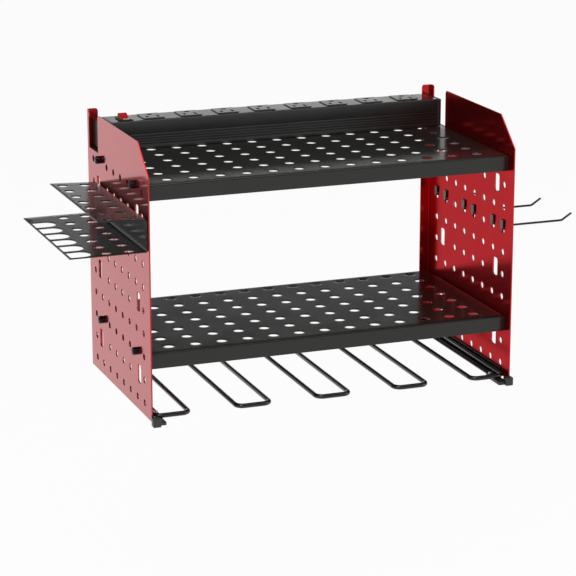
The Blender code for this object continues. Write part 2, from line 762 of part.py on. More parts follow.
def make_corner_clips():
    """Clips in front of the panels' bottom corners, with a jaw under each rail."""
    back = -PANEL_DEPTH - GAP
    outer = PANEL_OUTER + CLIP_OUTSTAND
    block = plate(
        box_outline(outer - CLIP_WIDTH, back - CLIP_DEPTH, outer, back),
        (), level_plane(-CLIP_DROP), 0, CLIP_HEIGHT,
    )
    jaw_edge = RAIL_FACE - RAIL_FOOT
    jaw_end = -PANEL_DEPTH + RAIL_FRONT_SETBACK + CLIP_JAW_LAP
    jaw = plate(
        box_outline(jaw_edge, back - CLIP_DEPTH / 2, jaw_edge + CLIP_JAW_WIDTH, jaw_end),
        [ring(clip_screw_x(), clip_screw_y(), CLIP_SCREW_RADIUS + GAP, FASTENER_SIDES)],
        level_plane(-GAP), -CLIP_JAW_THICKNESS, 0,
    )
    jaw_left = mirrored(jaw)
    block_left = mirrored(block)
    for side, block_mesh, jaw_mesh in (("right", block, jaw), ("left", block_left, jaw_left)):
        clip = keep(side + "_corner_clip", block_mesh, "grey_clip")
        boolean(clip, cutter(side + "_clip_jaw", jaw_mesh), "UNION")


def make_clip_screws():
    """Screws down through the rails' feet into the clips' jaws."""
    seat = RAIL_SHEET + GAP
    screw = turned([
        (0, seat + CLIP_SCREW_HEAD_HEIGHT),
        (CLIP_SCREW_HEAD_RADIUS, seat + CLIP_SCREW_HEAD_HEIGHT),
        (CLIP_SCREW_HEAD_RADIUS, seat),
        (CLIP_SCREW_RADIUS, seat),
        (CLIP_SCREW_RADIUS, -CLIP_JAW_THICKNESS),
        (0, -CLIP_JAW_THICKNESS),
    ], FASTENER_SIDES)
    for side, sign in SIDES.items():
        place = Matrix.Translation((sign * clip_screw_x(), clip_screw_y(), 0))
        keep(side + "_clip_screw", placed(smooth(screw), place), "zinc")


def rack_slot(y):
    """A pliers slot of the tool rack: square at the rim and round towards the panel."""
    rim = -(RACK_FACE + RACK_LOWER_REACH - RACK_SLOT_RIM)
    inner = -(RACK_FACE + max(RACK_HOLE_ROWS) + RACK_HOLE_RADIUS + RACK_SLOT_WEB)
    half = RACK_SLOT_WIDTH / 2
    round_end = min(half - RACK_SLOT_RIM / 2, inner - rim - RACK_SLOT_CORNER - WELD)
    return rounded_corners([
        (rim, y - half, RACK_SLOT_CORNER),
        (inner, y - half, round_end),
        (inner, y + half, round_end),
        (rim, y + half, RACK_SLOT_CORNER),
    ])


def make_tool_rack():
    """A C-shaped bent plate on the left panel.

    Two tabs lanced from its web slope down through the panel's upper windows and hang on
    their lower edges.
    """
    bottom = RACK_TOP - RACK_HEIGHT
    upper_edge, lower_edge = -RACK_FACE - RACK_UPPER_REACH, -RACK_FACE - RACK_LOWER_REACH
    columns = [RACK_FRONT + RACK_HOLE_MARGIN + index * RACK_HOLE_PITCH for index in range(RACK_HOLE_COLUMNS)]
    places = [(-RACK_FACE - row, y) for y in columns for row in RACK_HOLE_ROWS]
    holes = [ring(x, y, RACK_HOLE_RADIUS, RACK_HOLE_SIDES) for x, y in places]
    first_slot = RACK_FRONT + RACK_SLOT_MARGIN + RACK_SLOT_WIDTH / 2
    slots = [rack_slot(first_slot + index * RACK_HOLE_PITCH) for index in range(RACK_SLOTS)]

    def shelf_outline(edge):
        return rounded_corners([
            (-RACK_FACE, RACK_FRONT, 0),
            (edge, RACK_FRONT, RACK_CORNER_RADIUS),
            (edge, RACK_REAR, RACK_CORNER_RADIUS),
            (-RACK_FACE, RACK_REAR, 0),
        ])

    flip = [[(x, -y) for x, y in outline] for outline in (shelf_outline(lower_edge), *holes, *slots)]
    below = plane((0, 0, bottom), (1, 0, 0), (0, -1, 0))
    reach = (RACK_FACE - PANEL_INNER + RACK_TAB_REACH) * math.sqrt(2)
    window_bottom = max(WINDOWS_THAT_FIT) - WINDOW_HEIGHT / 2
    fold = window_bottom + GAP + RACK_FACE - PANEL_INNER + RACK_SHEET * math.sqrt(2)
    half = RACK_TAB_WIDTH / 2
    lances = [box_outline(y - half, fold - reach, y + half, fold) for y in WINDOW_DEPTHS]
    leaves = [
        leaf(shelf_outline(upper_edge), holes, level_plane(RACK_TOP)),
        leaf(box_outline(RACK_FRONT, bottom, RACK_REAR, RACK_TOP), lances, side_plane(-RACK_FACE)),
        leaf(flip[0], flip[1:], below),
    ]
    slope = plane((-RACK_FACE, 0, fold), (0, 1, 0), Vector((-1, 0, 1)).normalized())
    leaves += [leaf(box_outline(y - half, -reach, y + half, 0), (), slope) for y in WINDOW_DEPTHS]
    thicken(keep("tool_rack", folded_sheet(leaves), "black_sheet"), RACK_SHEET)


def make_hook(name, first_column):
    """A bent plate whose tabs go through two peg holes, and the prong welded to it."""
    face = PANEL_OUTER + GAP + HOOK_SHEET
    back = PANEL_INNER - GAP
    top = peg_row(HOOK_ROW) + HOOK_NECK_RISE
    waist, tip = top + HOOK_WAIST, top + HOOK_TAB_RISE
    columns = (peg_column(first_column + 1), peg_column(first_column))
    middle = sum(columns) / 2
    half, neck, narrow = HOOK_TAB_WIDTH / 2, HOOK_NECK_WIDTH / 2, HOOK_PLATE_WIDTH / 2
    left, right = columns[0] - neck, columns[1] + neck
    bar, foot = top - HOOK_BAR_HEIGHT, top - HOOK_PLATE_DROP
    shield = rounded_corners([
        (left, bar, 0),
        (middle - narrow, bar, 0),
        (middle - narrow, foot, HOOK_PLATE_RADIUS),
        (middle + narrow, foot, HOOK_PLATE_RADIUS),
        (middle + narrow, bar, 0),
        (right, bar, 0),
        (right, top, 0),
        (columns[1] - neck, top, 0),
        (columns[0] + neck, top, 0),
        (left, top, 0),
    ])
    leaves = [leaf(shield, (), side_plane(face))]
    for y in columns:
        leaves.append(leaf(box_outline(back, y - neck, face, y + neck), (), level_plane(top)))
        tab = [(neck, top), (neck, waist), (half, waist), (half, tip)]
        outline = [(y + reach, z) for reach, z in tab] + [(y - reach, z) for reach, z in reversed(tab)]
        leaves.append(leaf(outline, (), side_plane(back)))
    thicken(keep(name + "_hook_plate", folded_sheet(leaves), "black_wire"), HOOK_SHEET)
    height = top - PRONG_DROP
    start = face + GAP
    bend = start + PRONG_STRAIGHT
    route = rounded_corners([
        (start, height, 0),
        (bend, height, PRONG_BEND_RADIUS),
        (bend + PRONG_TIP_RUN, height + PRONG_TIP_RISE, 0),
    ], closed=False)
    prong = rod([(x, middle, z) for x, z in route], PRONG_RADIUS)
    keep(name + "_hook_prong", smooth(prong), "black_wire")


def extruded_along_x(profile, start, end, holes=()):
    """A solid of constant (Y, Z) section between two places along X."""
    return plate(profile, holes, side_plane(0), start, end)


def make_strip_base():
    """The ribbed lower half of the strip's housing: an open tray with grooves along its front."""
    top = STRIP_BOTTOM + STRIP_BASE_HEIGHT
    floor = STRIP_BOTTOM + STRIP_FLOOR
    front = [(STRIP_FRONT, STRIP_BOTTOM)]
    first = top - GROOVE_TOP_MARGIN - (GROOVES - 1) * GROOVE_PITCH - GROOVE_WIDTH
    for groove in range(GROOVES):
        low = first + groove * GROOVE_PITCH
        high = low + GROOVE_WIDTH
        inside = STRIP_FRONT + GROOVE_DEPTH
        front += [(STRIP_FRONT, low), (inside, low), (inside, high), (STRIP_FRONT, high)]
    profile = [
        *front,
        (STRIP_FRONT, top),
        (STRIP_FRONT + STRIP_WALL, top),
        (STRIP_FRONT + STRIP_WALL, floor),
        (STRIP_REAR - STRIP_WALL, floor),
        (STRIP_REAR - STRIP_WALL, top),
        (STRIP_REAR, top),
        (STRIP_REAR, STRIP_BOTTOM),
    ]
    base = keep("strip_base", extruded_along_x(profile, -STRIP_INNER_HALF, STRIP_INNER_HALF), "strip_plastic")
    middle = STRIP_BOTTOM + STRIP_FLOOR / 2
    half = STRIP_FLOOR / 2 + OVERRUN
    holes = [
        plate(keyhole(x, shelf_hole_row(0)), (), level_plane(middle), -half, half)
        for x in fixing_places()
    ]
    boolean(base, cutter("base_keyholes", joined(holes)), "DIFFERENCE")


def fixing_places():
    return [shelf_hole_column(column) for column in FIXING_COLUMNS]


def keyhole(x, y):
    """A round hole to the right of the screw, with a slot that leads to the screw at (x, y)."""
    slot = FIXING_RADIUS + GAP
    centre = x + KEYHOLE_SLOT
    meet = math.asin(slot / KEYHOLE_RADIUS)
    steps = 2 * ARC_STEPS
    big = [math.pi - meet - (2 * math.pi - 2 * meet) * step / steps for step in range(steps + 1)]
    small = [-math.pi / 2 - math.pi * step / ARC_STEPS for step in range(ARC_STEPS + 1)]
    points = [(centre + KEYHOLE_RADIUS * math.cos(turn), y + KEYHOLE_RADIUS * math.sin(turn)) for turn in big]
    points += [(x + slot * math.cos(turn), y + slot * math.sin(turn)) for turn in small]
    return points


def outlet_outlines(clearance):
    """The rounded rectangle of each outlet's face, larger by a clearance all round."""
    half_length, half_depth = OUTLET_FACE_LENGTH / 2 + clearance, OUTLET_FACE_DEPTH / 2 + clearance
    centres = [FIRST_OUTLET + number * OUTLET_PITCH for number in range(OUTLETS)]
    return [
        box_outline(
            x - half_length, OUTLET_MIDDLE - half_depth, x + half_length, OUTLET_MIDDLE + half_depth,
            OUTLET_FACE_RADIUS, steps=1,
        )
        for x in centres
    ]


def make_strip_cover():
    """The upper half of the housing, with an opening for each outlet and one for the switch."""
    bottom = STRIP_BOTTOM + STRIP_BASE_HEIGHT + GAP
    end = STRIP_INNER_HALF
    half_length, half_depth = BEZEL_BODY_LENGTH / 2 + GAP, BEZEL_BODY_DEPTH / 2 + GAP
    switch = box_outline(
        SWITCH_X - half_length, SWITCH_Y - half_depth, SWITCH_X + half_length, SWITCH_Y + half_depth,
    )
    skirt = box_outline(-end, bottom, end, STRIP_TOP)
    rear_plane = plane((0, STRIP_REAR, 0), (-1, 0, 0), (0, 0, 1))
    leaves = [
        leaf(
            box_outline(-end, STRIP_FRONT, end, STRIP_REAR), [*outlet_outlines(GAP), switch],
            level_plane(STRIP_TOP),
        ),
        leaf(skirt, (), wall_plane(STRIP_FRONT)),
        leaf(skirt, (), rear_plane),
    ]
    thicken(keep("strip_cover", folded_sheet(leaves), "strip_plastic"), STRIP_WALL)


def make_strip_caps():
    """The end caps, of which the right one has the hole for the cord inlet."""
    section = box_outline(STRIP_FRONT, STRIP_BOTTOM, STRIP_REAR, STRIP_TOP, STRIP_EDGE_RADIUS)
    inlet = ring(STRIP_MIDDLE, STRIP_BOTTOM + INLET_HEIGHT, INLET_RADIUS + GAP, INLET_SIDES)
    inner = STRIP_HALF - STRIP_CAP_THICKNESS
    right = extruded_along_x(section, inner, STRIP_HALF, [inlet])
    keep("strip_right_cap", right, "strip_plastic")
    left = extruded_along_x(section, -STRIP_HALF, -inner)
    keep("strip_left_cap", left, "strip_plastic")


def make_cord_inlet():
    """A flanged bush in the right end cap, where the mains cord goes in."""
    depth = STRIP_CAP_THICKNESS
    bush = turned([
        (INLET_BORE_RADIUS, INLET_FLANGE),
        (INLET_FLANGE_RADIUS, INLET_FLANGE),
        (INLET_FLANGE_RADIUS, 0),
        (INLET_RADIUS, 0),
        (INLET_RADIUS, -depth),
        (INLET_BORE_RADIUS, -depth),
        (INLET_BORE_RADIUS, INLET_FLANGE),
    ], INLET_SIDES)
    half_side = Matrix.Rotation(math.pi / INLET_SIDES, 4, "Z")
    place = outward(1, STRIP_HALF + GAP, STRIP_MIDDLE, STRIP_BOTTOM + INLET_HEIGHT)
    bush.transform(place @ half_side)
    keep("cord_inlet", smooth(bush), "strip_plastic")


def make_contact_carrier():
    """The insulating channel that holds the bus bars and carries the outlet faces."""
    front = OUTLET_MIDDLE - OUTLET_FACE_DEPTH / 2 + CARRIER_SETBACK
    rear = OUTLET_MIDDLE + OUTLET_FACE_DEPTH / 2 - CARRIER_SETBACK
    under = CARRIER_BOTTOM + CARRIER_FLOOR_HEIGHT
    floor = under + CARRIER_FLOOR
    ridge = floor + CARRIER_RIB_HEIGHT
    inside = BUS_BAR_THICKNESS / 2 + GAP
    outside = inside + CARRIER_RIB
    profile = [(front, CARRIER_BOTTOM), (front, CARRIER_TOP), (front + CARRIER_UPRIGHT, CARRIER_TOP)]
    profile.append((front + CARRIER_UPRIGHT, floor))
    for y in sorted(BUS_BAR_DEPTHS.values()):
        profile += [(y - outside, floor), (y - outside, ridge), (y - inside, ridge), (y - inside, floor)]
        profile += [(y + inside, floor), (y + inside, ridge), (y + outside, ridge), (y + outside, floor)]
    profile += [(rear - CARRIER_UPRIGHT, floor), (rear - CARRIER_UPRIGHT, CARRIER_TOP), (rear, CARRIER_TOP)]
    front_foot, rear_foot = front + CARRIER_UPRIGHT, rear - CARRIER_UPRIGHT
    profile += [(rear, CARRIER_BOTTOM), (rear_foot, CARRIER_BOTTOM), (rear_foot, under)]
    profile += [(front_foot, under), (front_foot, CARRIER_BOTTOM)]
    keep("contact_carrier", extruded_along_x(profile, OUTLET_ROW_START, OUTLET_ROW_END), "strip_plastic")
    bottom = floor + GAP
    for name, y in BUS_BAR_DEPTHS.items():
        half = BUS_BAR_THICKNESS / 2
        bar = box_outline(y - half, bottom, y + half, bottom + BUS_BAR_HEIGHT)
        start, end = OUTLET_ROW_START + BUS_BAR_END_SETBACK, OUTLET_ROW_END - BUS_BAR_END_SETBACK
        keep(name, extruded_along_x(bar, start, end), "copper_alloy")


def make_outlet_faces():
    """A raised face for each outlet: a ground hole and two blade slots, the neutral one longer."""
    for number, outline in enumerate(outlet_outlines(0)):
        x = FIRST_OUTLET + number * OUTLET_PITCH
        openings = [ring(x, GROUND_LINE, GROUND_RADIUS, FASTENER_SIDES)]
        for side, slot_length in ((-1, LIVE_SLOT_LENGTH), (1, NEUTRAL_SLOT_LENGTH)):
            blade_x = x + side * BLADE_SPACING / 2
            width, length = BLADE_SLOT_WIDTH / 2, slot_length / 2
            front, rear = BLADE_LINE - length, BLADE_LINE + length
            openings.append(box_outline(blade_x - width, front, blade_x + width, rear))
        mesh = plate(outline, openings, level_plane(STRIP_TOP), -OUTLET_FACE_THICKNESS, OUTLET_FACE_RISE)
        keep("outlet_face_%d" % (number + 1), mesh, "strip_plastic")


def make_switch():
    """A rocker on its pin, in a bezel over the switch body."""
    pivot = Vector((SWITCH_X, SWITCH_Y, ROCKER_Z))
    half_length, half_depth = BEZEL_LENGTH / 2, BEZEL_DEPTH / 2
    open_length, open_depth = BEZEL_OPENING_LENGTH / 2, BEZEL_OPENING_DEPTH / 2
    opening = box_outline(-open_length, -open_depth, open_length, open_depth)
    level = Matrix.Translation((SWITCH_X, SWITCH_Y, STRIP_TOP + GAP))
    rim = box_outline(-half_length, -half_depth, half_length, half_depth, BEZEL_RADIUS)
    bezel = keep(
        "rocker_bezel", plate(rim, [opening], level, -BEZEL_BODY_HEIGHT, BEZEL_FLANGE), "strip_plastic",
    )
    body_length, body_depth = BEZEL_BODY_LENGTH / 2, BEZEL_BODY_DEPTH / 2
    past_length, past_depth = half_length + OVERRUN, half_depth + OVERRUN
    around = box_outline(-past_length, -past_depth, past_length, past_depth)
    inside = box_outline(-body_length, -body_depth, body_length, body_depth)
    relief = plate(around, [inside], level, -BEZEL_BODY_HEIGHT - OVERRUN, 0)
    boolean(bezel, cutter("bezel_relief", relief), "DIFFERENCE")
    pin_half = open_length + ROCKER_PIN_SEAT
    seat = pin_half + GAP
    bore_radius = ROCKER_PIN_RADIUS + GAP
    across = side_plane(0)
    across.translation = pivot
    seats = plate(ring(0, 0, bore_radius, FASTENER_SIDES), (), across, -seat, seat)
    boolean(bezel, cutter("bezel_pin_seats", seats), "DIFFERENCE")
    pin = plate(ring(0, 0, ROCKER_PIN_RADIUS, FASTENER_SIDES), (), across, -pin_half, pin_half)
    keep("rocker_pin", pin, "zinc")

    half = ROCKER_HALF_DEPTH
    tongue = [math.pi * step / (2 * ARC_STEPS) for step in range(2 * ARC_STEPS + 1)]
    profile = [(half, ROCKER_CROWN), (0, ROCKER_CROWN - ROCKER_DISH), (-half, ROCKER_CROWN)]
    profile += [(-half, ROCKER_SKIRT)]
    radius = ROCKER_TONGUE_RADIUS
    profile += [(-radius * math.cos(turn), -radius * math.sin(turn)) for turn in tongue]
    profile += [(half, ROCKER_SKIRT)]
    width = BEZEL_OPENING_LENGTH / 2 - ROCKER_SIDE_CLEARANCE
    bore = ring(0, 0, bore_radius, FASTENER_SIDES)
    rocker = keep("power_rocker", plate(profile, [bore], side_plane(0), -width, width), "switch_red")
    rocker.location = pivot
    rocker.rotation_euler = (-ROCKER_REST_ANGLE, 0, 0)

    top = STRIP_TOP + GAP - BEZEL_BODY_HEIGHT - GAP
    long_half, deep_half = SWITCH_BODY_LENGTH / 2, SWITCH_BODY_DEPTH / 2
    body = box_outline(SWITCH_X - long_half, SWITCH_Y - deep_half, SWITCH_X + long_half, SWITCH_Y + deep_half)
    keep("switch_body", plate(body, (), level_plane(top), -SWITCH_BODY_HEIGHT, 0), "strip_plastic")


def make_strip_fixings():
    """Headed screws in the strip's keyholes, with flange nuts under the shelf."""
    y = shelf_hole_row(0)
    head = STRIP_BOTTOM + STRIP_FLOOR + GAP
    under = UPPER_SHELF_TOP - SHELF_SHEET - GAP
    nut_end = under - FIXING_FLANGE - FIXING_NUT_HEIGHT
    end = nut_end - FIXING_END
    screw = turned([
        (0, head + FIXING_HEAD_HEIGHT),
        (FIXING_HEAD_RADIUS, head + FIXING_HEAD_HEIGHT),
        (FIXING_HEAD_RADIUS, head),
        (FIXING_RADIUS, head),
        (FIXING_RADIUS, end),
        (0, end),
    ], FASTENER_SIDES)
    bore = (FIXING_RADIUS + GAP) / math.cos(math.pi / FASTENER_SIDES)
    nut = turned([
        (bore, under),
        (FIXING_FLANGE_RADIUS, under),
        (FIXING_FLANGE_RADIUS, under - FIXING_FLANGE),
        (FIXING_NUT_RADIUS, under - FIXING_FLANGE),
        (FIXING_NUT_RADIUS, nut_end),
        (bore, nut_end),
        (bore, under),
    ], FASTENER_SIDES)
    for side, x in zip(SIDES, fixing_places()):
        place = Matrix.Translation((x, y, 0))
        keep(side + "_strip_fixing_screw", placed(smooth(screw), place), "zinc")
        keep(side + "_strip_fixing_nut", placed(nut, place), "zinc")


def main():
    clear_scene()
    make_side_panels()
    make_shelf("upper_shelf", UPPER_SHELF_TOP)
    make_shelf("lower_shelf", LOWER_SHELF_TOP)
    make_shelf_fasteners()
    make_rack_rails()
    make_drill_wire()
    make_corner_clips()
    make_clip_screws()
    make_tool_rack()
    for name, column in hook_columns().items():
        make_hook(name, column)
    make_strip_base()
    make_strip_cover()
    make_strip_caps()
    make_cord_inlet()
    make_contact_carrier()
    make_outlet_faces()
    make_switch()
    make_strip_fixings()


main()
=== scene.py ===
# %% [markdown]
# # A wall organizer for power tools, dressed for its portrait
#
# The solid model of this organizer is already packed: two perforated steel side panels, two
# perforated shelves, a bent wire rack, a bent plate rack, three hooks and a power strip. Its
# holes have only six sides and its folds are sharp. This lesson builds the same sheets again
# with round holes and real bends, and gives every piece its coat of paint, plastic or zinc.
#
# We work in metres. X runs to the right, Y into the wall and Z up, and Z = 0 is the side
# panels' bottom edge.

import contextlib
import json
import math

import bmesh
import bpy
import numpy as np
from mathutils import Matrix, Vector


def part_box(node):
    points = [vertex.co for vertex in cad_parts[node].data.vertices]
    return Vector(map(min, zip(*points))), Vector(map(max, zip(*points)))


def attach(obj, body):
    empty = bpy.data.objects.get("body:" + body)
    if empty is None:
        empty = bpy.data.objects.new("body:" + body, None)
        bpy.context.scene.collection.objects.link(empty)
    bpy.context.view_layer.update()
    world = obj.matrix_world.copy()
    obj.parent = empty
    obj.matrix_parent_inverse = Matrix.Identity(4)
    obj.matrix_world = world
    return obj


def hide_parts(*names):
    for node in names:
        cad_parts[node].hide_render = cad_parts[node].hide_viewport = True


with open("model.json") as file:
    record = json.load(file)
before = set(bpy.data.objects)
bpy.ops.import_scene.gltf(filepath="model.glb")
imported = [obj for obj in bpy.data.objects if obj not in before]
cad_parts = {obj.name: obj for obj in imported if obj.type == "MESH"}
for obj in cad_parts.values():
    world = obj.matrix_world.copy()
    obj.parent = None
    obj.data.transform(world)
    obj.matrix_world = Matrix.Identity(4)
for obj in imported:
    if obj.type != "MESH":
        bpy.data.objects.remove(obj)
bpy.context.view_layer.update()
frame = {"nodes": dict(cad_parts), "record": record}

# %% [markdown]
# ## One way to make every surface
#
# A surface can be modelled by pushing vertices, by modifiers, or by writing it down as a
# function of two parameters. Sheet metal suits the last: a grid of points is computed as one
# array, and its quads are numbered by a formula. If the first parameter runs down the rows and
# the second along the columns, the face normal is their cross product, so we know which side
# is out before we look.


# %% Grids of points become meshes
def grid(*coordinates):
    """Points from one array for each coordinate, which all broadcast to the grid's shape."""
    return np.stack(np.broadcast_arrays(*coordinates), axis=-1)


def quads(rows, columns, wrap):
    """Corner numbers of a grid's quads: a point, the one below it and the two beside them."""
    row, column = np.meshgrid(
        np.arange(rows - 1), np.arange(columns if wrap else columns - 1), indexing="ij")
    beside = (column + 1) % columns
    here, below = row * columns, (row + 1) * columns
    return grid(here + column, below + column, below + beside, here + beside).reshape(-1, 4)


WELD = 0.00002


@contextlib.contextmanager
def opened(mesh):
    """A mesh opened for editing, and written back when the block ends."""
    shape = bmesh.new()
    shape.from_mesh(mesh)
    yield shape
    shape.to_mesh(mesh)
    shape.free()


def mesh_from(name, patches, capped=False):
    """A mesh from patches, welded where their points meet, with flat caps if asked.

    A patch is a grid of points, their edge wear, and whether its columns close to a ring.
    """
    points, wears, faces, start = [], [], [], 0
    for spots, wear, wrap in patches:
        rows, columns = spots.shape[:2]
        points.append(spots.reshape(-1, 3))
        wears.append(np.broadcast_to(wear, (rows, columns)).ravel())
        faces.append(quads(rows, columns, wrap) + start)
        start += rows * columns
    mesh = bpy.data.meshes.new(name)
    mesh.from_pydata(np.concatenate(points).tolist(), [], np.concatenate(faces).tolist())
    wear = np.concatenate(wears).astype(np.float32)
    mesh.attributes.new("edge", "FLOAT", "POINT").data.foreach_set("value", wear)
    with opened(mesh) as shape:
        bmesh.ops.remove_doubles(shape, verts=shape.verts, dist=WELD)
        if capped:
            open_edges = [edge for edge in shape.edges if edge.is_boundary]
            bmesh.ops.holes_fill(shape, edges=open_edges, sides=0)
            bmesh.ops.recalc_face_normals(shape, faces=shape.faces)
    return mesh


def mirrored(patches):
    """The same patches on the other side: X changes sign, and rows run back to face out."""
    return [(points[::-1] * (-1, 1, 1), np.broadcast_to(wear, points.shape[:2])[::-1], wrap)
            for points, wear, wrap in patches]


# %% [markdown]
# ## From a mesh to a finished piece
#
# Sheets get their thickness from Solidify and every hard edge a small Bevel, because no real
# edge is razor sharp and it is the bevel that catches the light. The modifiers are applied at
# once, and edges flatter than a set angle are shaded smooth. Where a bevel runs into a tight
# corner it can leave points that almost touch, so these are merged afterwards.

# %% Finished pieces
SMOOTH_ANGLE = math.radians(38)
LEAST_GAP, LEAST_EDGE = WELD / 4, WELD / 10
CUT_EDGE, MOULDED_EDGE = 0.00022, 0.0002
FINISHES = {}


def applied(thing):
    """Puts what the modifiers make into the mesh, and shades its gentle edges smooth."""
    view = bpy.context.evaluated_depsgraph_get()
    mesh = bpy.data.meshes.new_from_object(thing.evaluated_get(view))
    thing.modifiers.clear()
    thing.data = mesh
    with opened(mesh) as shape:
        bmesh.ops.remove_doubles(shape, verts=shape.verts, dist=LEAST_GAP)
        bmesh.ops.dissolve_degenerate(shape, edges=shape.edges, dist=LEAST_EDGE)
    mesh.shade_smooth()
    mesh.set_sharp_from_angle(angle=SMOOTH_ANGLE)


def placed(name, data):
    """A new object in the scene for a mesh, a lamp or a camera."""
    thing = bpy.data.objects.new(name, data)
    bpy.context.scene.collection.objects.link(thing)
    return thing


def piece(name, patches, finish, stands_for, body="root", thickness=0.0, soften=0.0,
          segments=2, capped=False):
    """A piece that rides on a body, stands for CAD nodes and has one of the finishes."""
    thing = placed(name, mesh_from(name, patches, capped))
    if thickness:
        wall = thing.modifiers.new("thickness", "SOLIDIFY")
        wall.thickness, wall.offset = thickness, -1
        wall.use_even_offset = wall.use_quality_normals = True
    if soften:
        bevel = thing.modifiers.new("soft edges", "BEVEL")
        bevel.width, bevel.segments = soften, segments
        bevel.limit_method, bevel.angle_limit = "ANGLE", SMOOTH_ANGLE
    applied(thing)
    thing.data.materials.append(FINISHES[finish])
    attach(thing, body)
    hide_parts(*stands_for)
    print(name, len(thing.data.polygons), "faces")


# %% [markdown]
# ## Shader maths as plain Python
#
# A material is a graph, and a graph is tiresome to write. One small class wraps a socket and
# overloads +, - and * with their reflected forms, so `1 - mask` adds a Math node by itself.
# Everything else goes through one method that takes a node's type, settings and inputs.


# %% A recipe for materials
class Value:
    """One output socket of a recipe's nodes."""

    def __init__(self, recipe, socket):
        self.recipe, self.socket = recipe, socket

    def math(self, operation, *numbers):
        """A Math node on these numbers or values."""
        settings = {"operation": operation}
        return self.recipe.node("ShaderNodeMath", settings, dict(enumerate(numbers)))

    def __add__(self, other): return self.math("ADD", self, other)
    def __sub__(self, other): return self.math("SUBTRACT", self, other)
    def __rsub__(self, other): return self.math("SUBTRACT", other, self)
    def __mul__(self, other): return self.math("MULTIPLY", self, other)
    def __abs__(self): return self.math("ABSOLUTE", self)
    __radd__, __rmul__ = __add__, __mul__


class Recipe:
    """The nodes of one material or world."""

    def __init__(self, owner):
        owner.use_nodes = True
        self.owner, self.tree = owner, owner.node_tree

    def feed(self, socket, value):
        """Links a value to a socket, or writes a number or a colour into it."""
        if isinstance(value, Value):
            self.tree.links.new(value.socket, socket)
        else:
            socket.default_value = (*value, 1) if socket.type == "RGBA" else value

    def node(self, kind, settings=(), inputs=(), out=0):
        """Adds a node: its settings, then its inputs by number or name. Returns one output."""
        made = self.tree.nodes.new(kind)
        for setting, value in dict(settings).items():
            setattr(made, setting, value)
        for key, value in dict(inputs).items():
            self.feed(made.inputs[key], value)
        return Value(self, made.outputs[out])

    def between(self, value, low, high):
        """0 below low, 1 above high and a smooth step between them."""
        settings = {"interpolation_type": "SMOOTHSTEP", "clamp": True}
        inputs = {"Value": value, "From Min": low, "From Max": high}
        return self.node("ShaderNodeMapRange", settings, inputs)

    def part(self, vector, axis):
        """One of the three numbers of a vector."""
        return self.node("ShaderNodeSeparateXYZ", {}, {0: vector}, axis)


# %% What only surfaces need
BUMP_HEIGHT = 0.0002


class Finish(Recipe):
    """A material whose Principled shader takes numbers, colours or values."""

    def __init__(self, name):
        super().__init__(bpy.data.materials.new(name))
        self.place = self.node("ShaderNodeTexCoord", out="Object")

    def noise(self, scale, detail=3.0, place=None):
        """Cloudy noise, with scale in bumps per metre."""
        inputs = {"Vector": place or self.place, "Scale": scale, "Detail": detail}
        return self.node("ShaderNodeTexNoise", {}, inputs)

    def mix(self, factor, first, second):
        """A blend of two colours."""
        inputs = {0: factor, 6: first, 7: second}
        return self.node("ShaderNodeMix", {"data_type": "RGBA"}, inputs, 2)

    def bump(self, height, strength):
        """A normal that leans as a surface of this height would."""
        inputs = {"Height": height, "Strength": strength, "Distance": BUMP_HEIGHT}
        return self.node("ShaderNodeBump", {}, inputs)

    def done(self, **sockets):
        """Feeds the shader's sockets, whose names are written with _ for each space."""
        shader = self.tree.nodes["Principled BSDF"]
        for name, value in sockets.items():
            self.feed(shader.inputs[name.replace("_", " ")], value)
        return self.owner


# %% [markdown]
# ## Ten finishes
#
# The side panels are candy red: a metallic ground under a clear tinted coat. Powder coat is
# never glass flat, so a fine orange peel goes into the normal, and where a punch has cut the
# sheet the coat is thin and rubs through. The `edge` attribute, which is one at every rim and
# fades to zero within a few millimetres, tells the shader where that is.
#
# The inner faces get no clear coat, so they mirror less of the white floor and their red looks
# deeper and less bright: painted shade, in place of the weaker reflections those faces get.

# %% Powder coats
panel_low, panel_high = np.array(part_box("right_side_panel"))
PANEL_FACE, PANEL_SHEET = panel_high[0], 0.0015


def powder_coat(name, colour, worn, roughness, peel, specular, metallic=0.0, coat=0.0,
                tint=(1, 1, 1)):
    """Paint over steel: peel in the normal, cloudy gloss and worn rims.

    A nick shows where the edge wear and a fine grit together pass a threshold.
    """
    cloud_scale, grit_scale, fine_scale = 22, 900, 1400
    wear_share, grit_share, sound, bare = 0.55, 0.75, 0.93, 1.02
    shade, swing, fine_share, peel_depth = 0.82, 0.12, 0.35, 0.10
    finish = Finish(name)
    clouds = finish.noise(cloud_scale, 4)
    wear = finish.node("ShaderNodeAttribute", {"attribute_name": "edge"}, out="Fac")
    grit = finish.noise(grit_scale)
    nicks = finish.between(wear * wear_share + grit * grit_share, sound, bare)
    shaded = tuple(part * shade for part in colour)
    bumps = finish.noise(peel) + finish.noise(fine_scale, 2) * fine_share
    return finish.done(
        Base_Color=finish.mix(nicks, finish.mix(clouds, shaded, colour), worn),
        Roughness=roughness - swing / 2 + clouds * swing + nicks * swing,
        Metallic=metallic,
        Coat_Weight=coat(finish) if callable(coat) else coat,
        Coat_Roughness=0.08,
        Specular_IOR_Level=specular,
        Specular_Tint=tint,
        Normal=finish.bump(bumps, peel_depth),
    )


# Painted shade: the panels' inner faces get their own, weaker coat, so they reflect less light.
def coat_with_shaded_inner_face(outer, inner):
    """Outer on the face of a panel that lies further from the middle than its sheet's middle."""
    middle_of_sheet, blur = PANEL_FACE - PANEL_SHEET / 2, 0.0002

    def share(finish):
        away = abs(finish.part(finish.place, "X"))
        outside = finish.between(away, middle_of_sheet - blur, middle_of_sheet + blur)
        return inner + outside * (outer - inner)
    return share


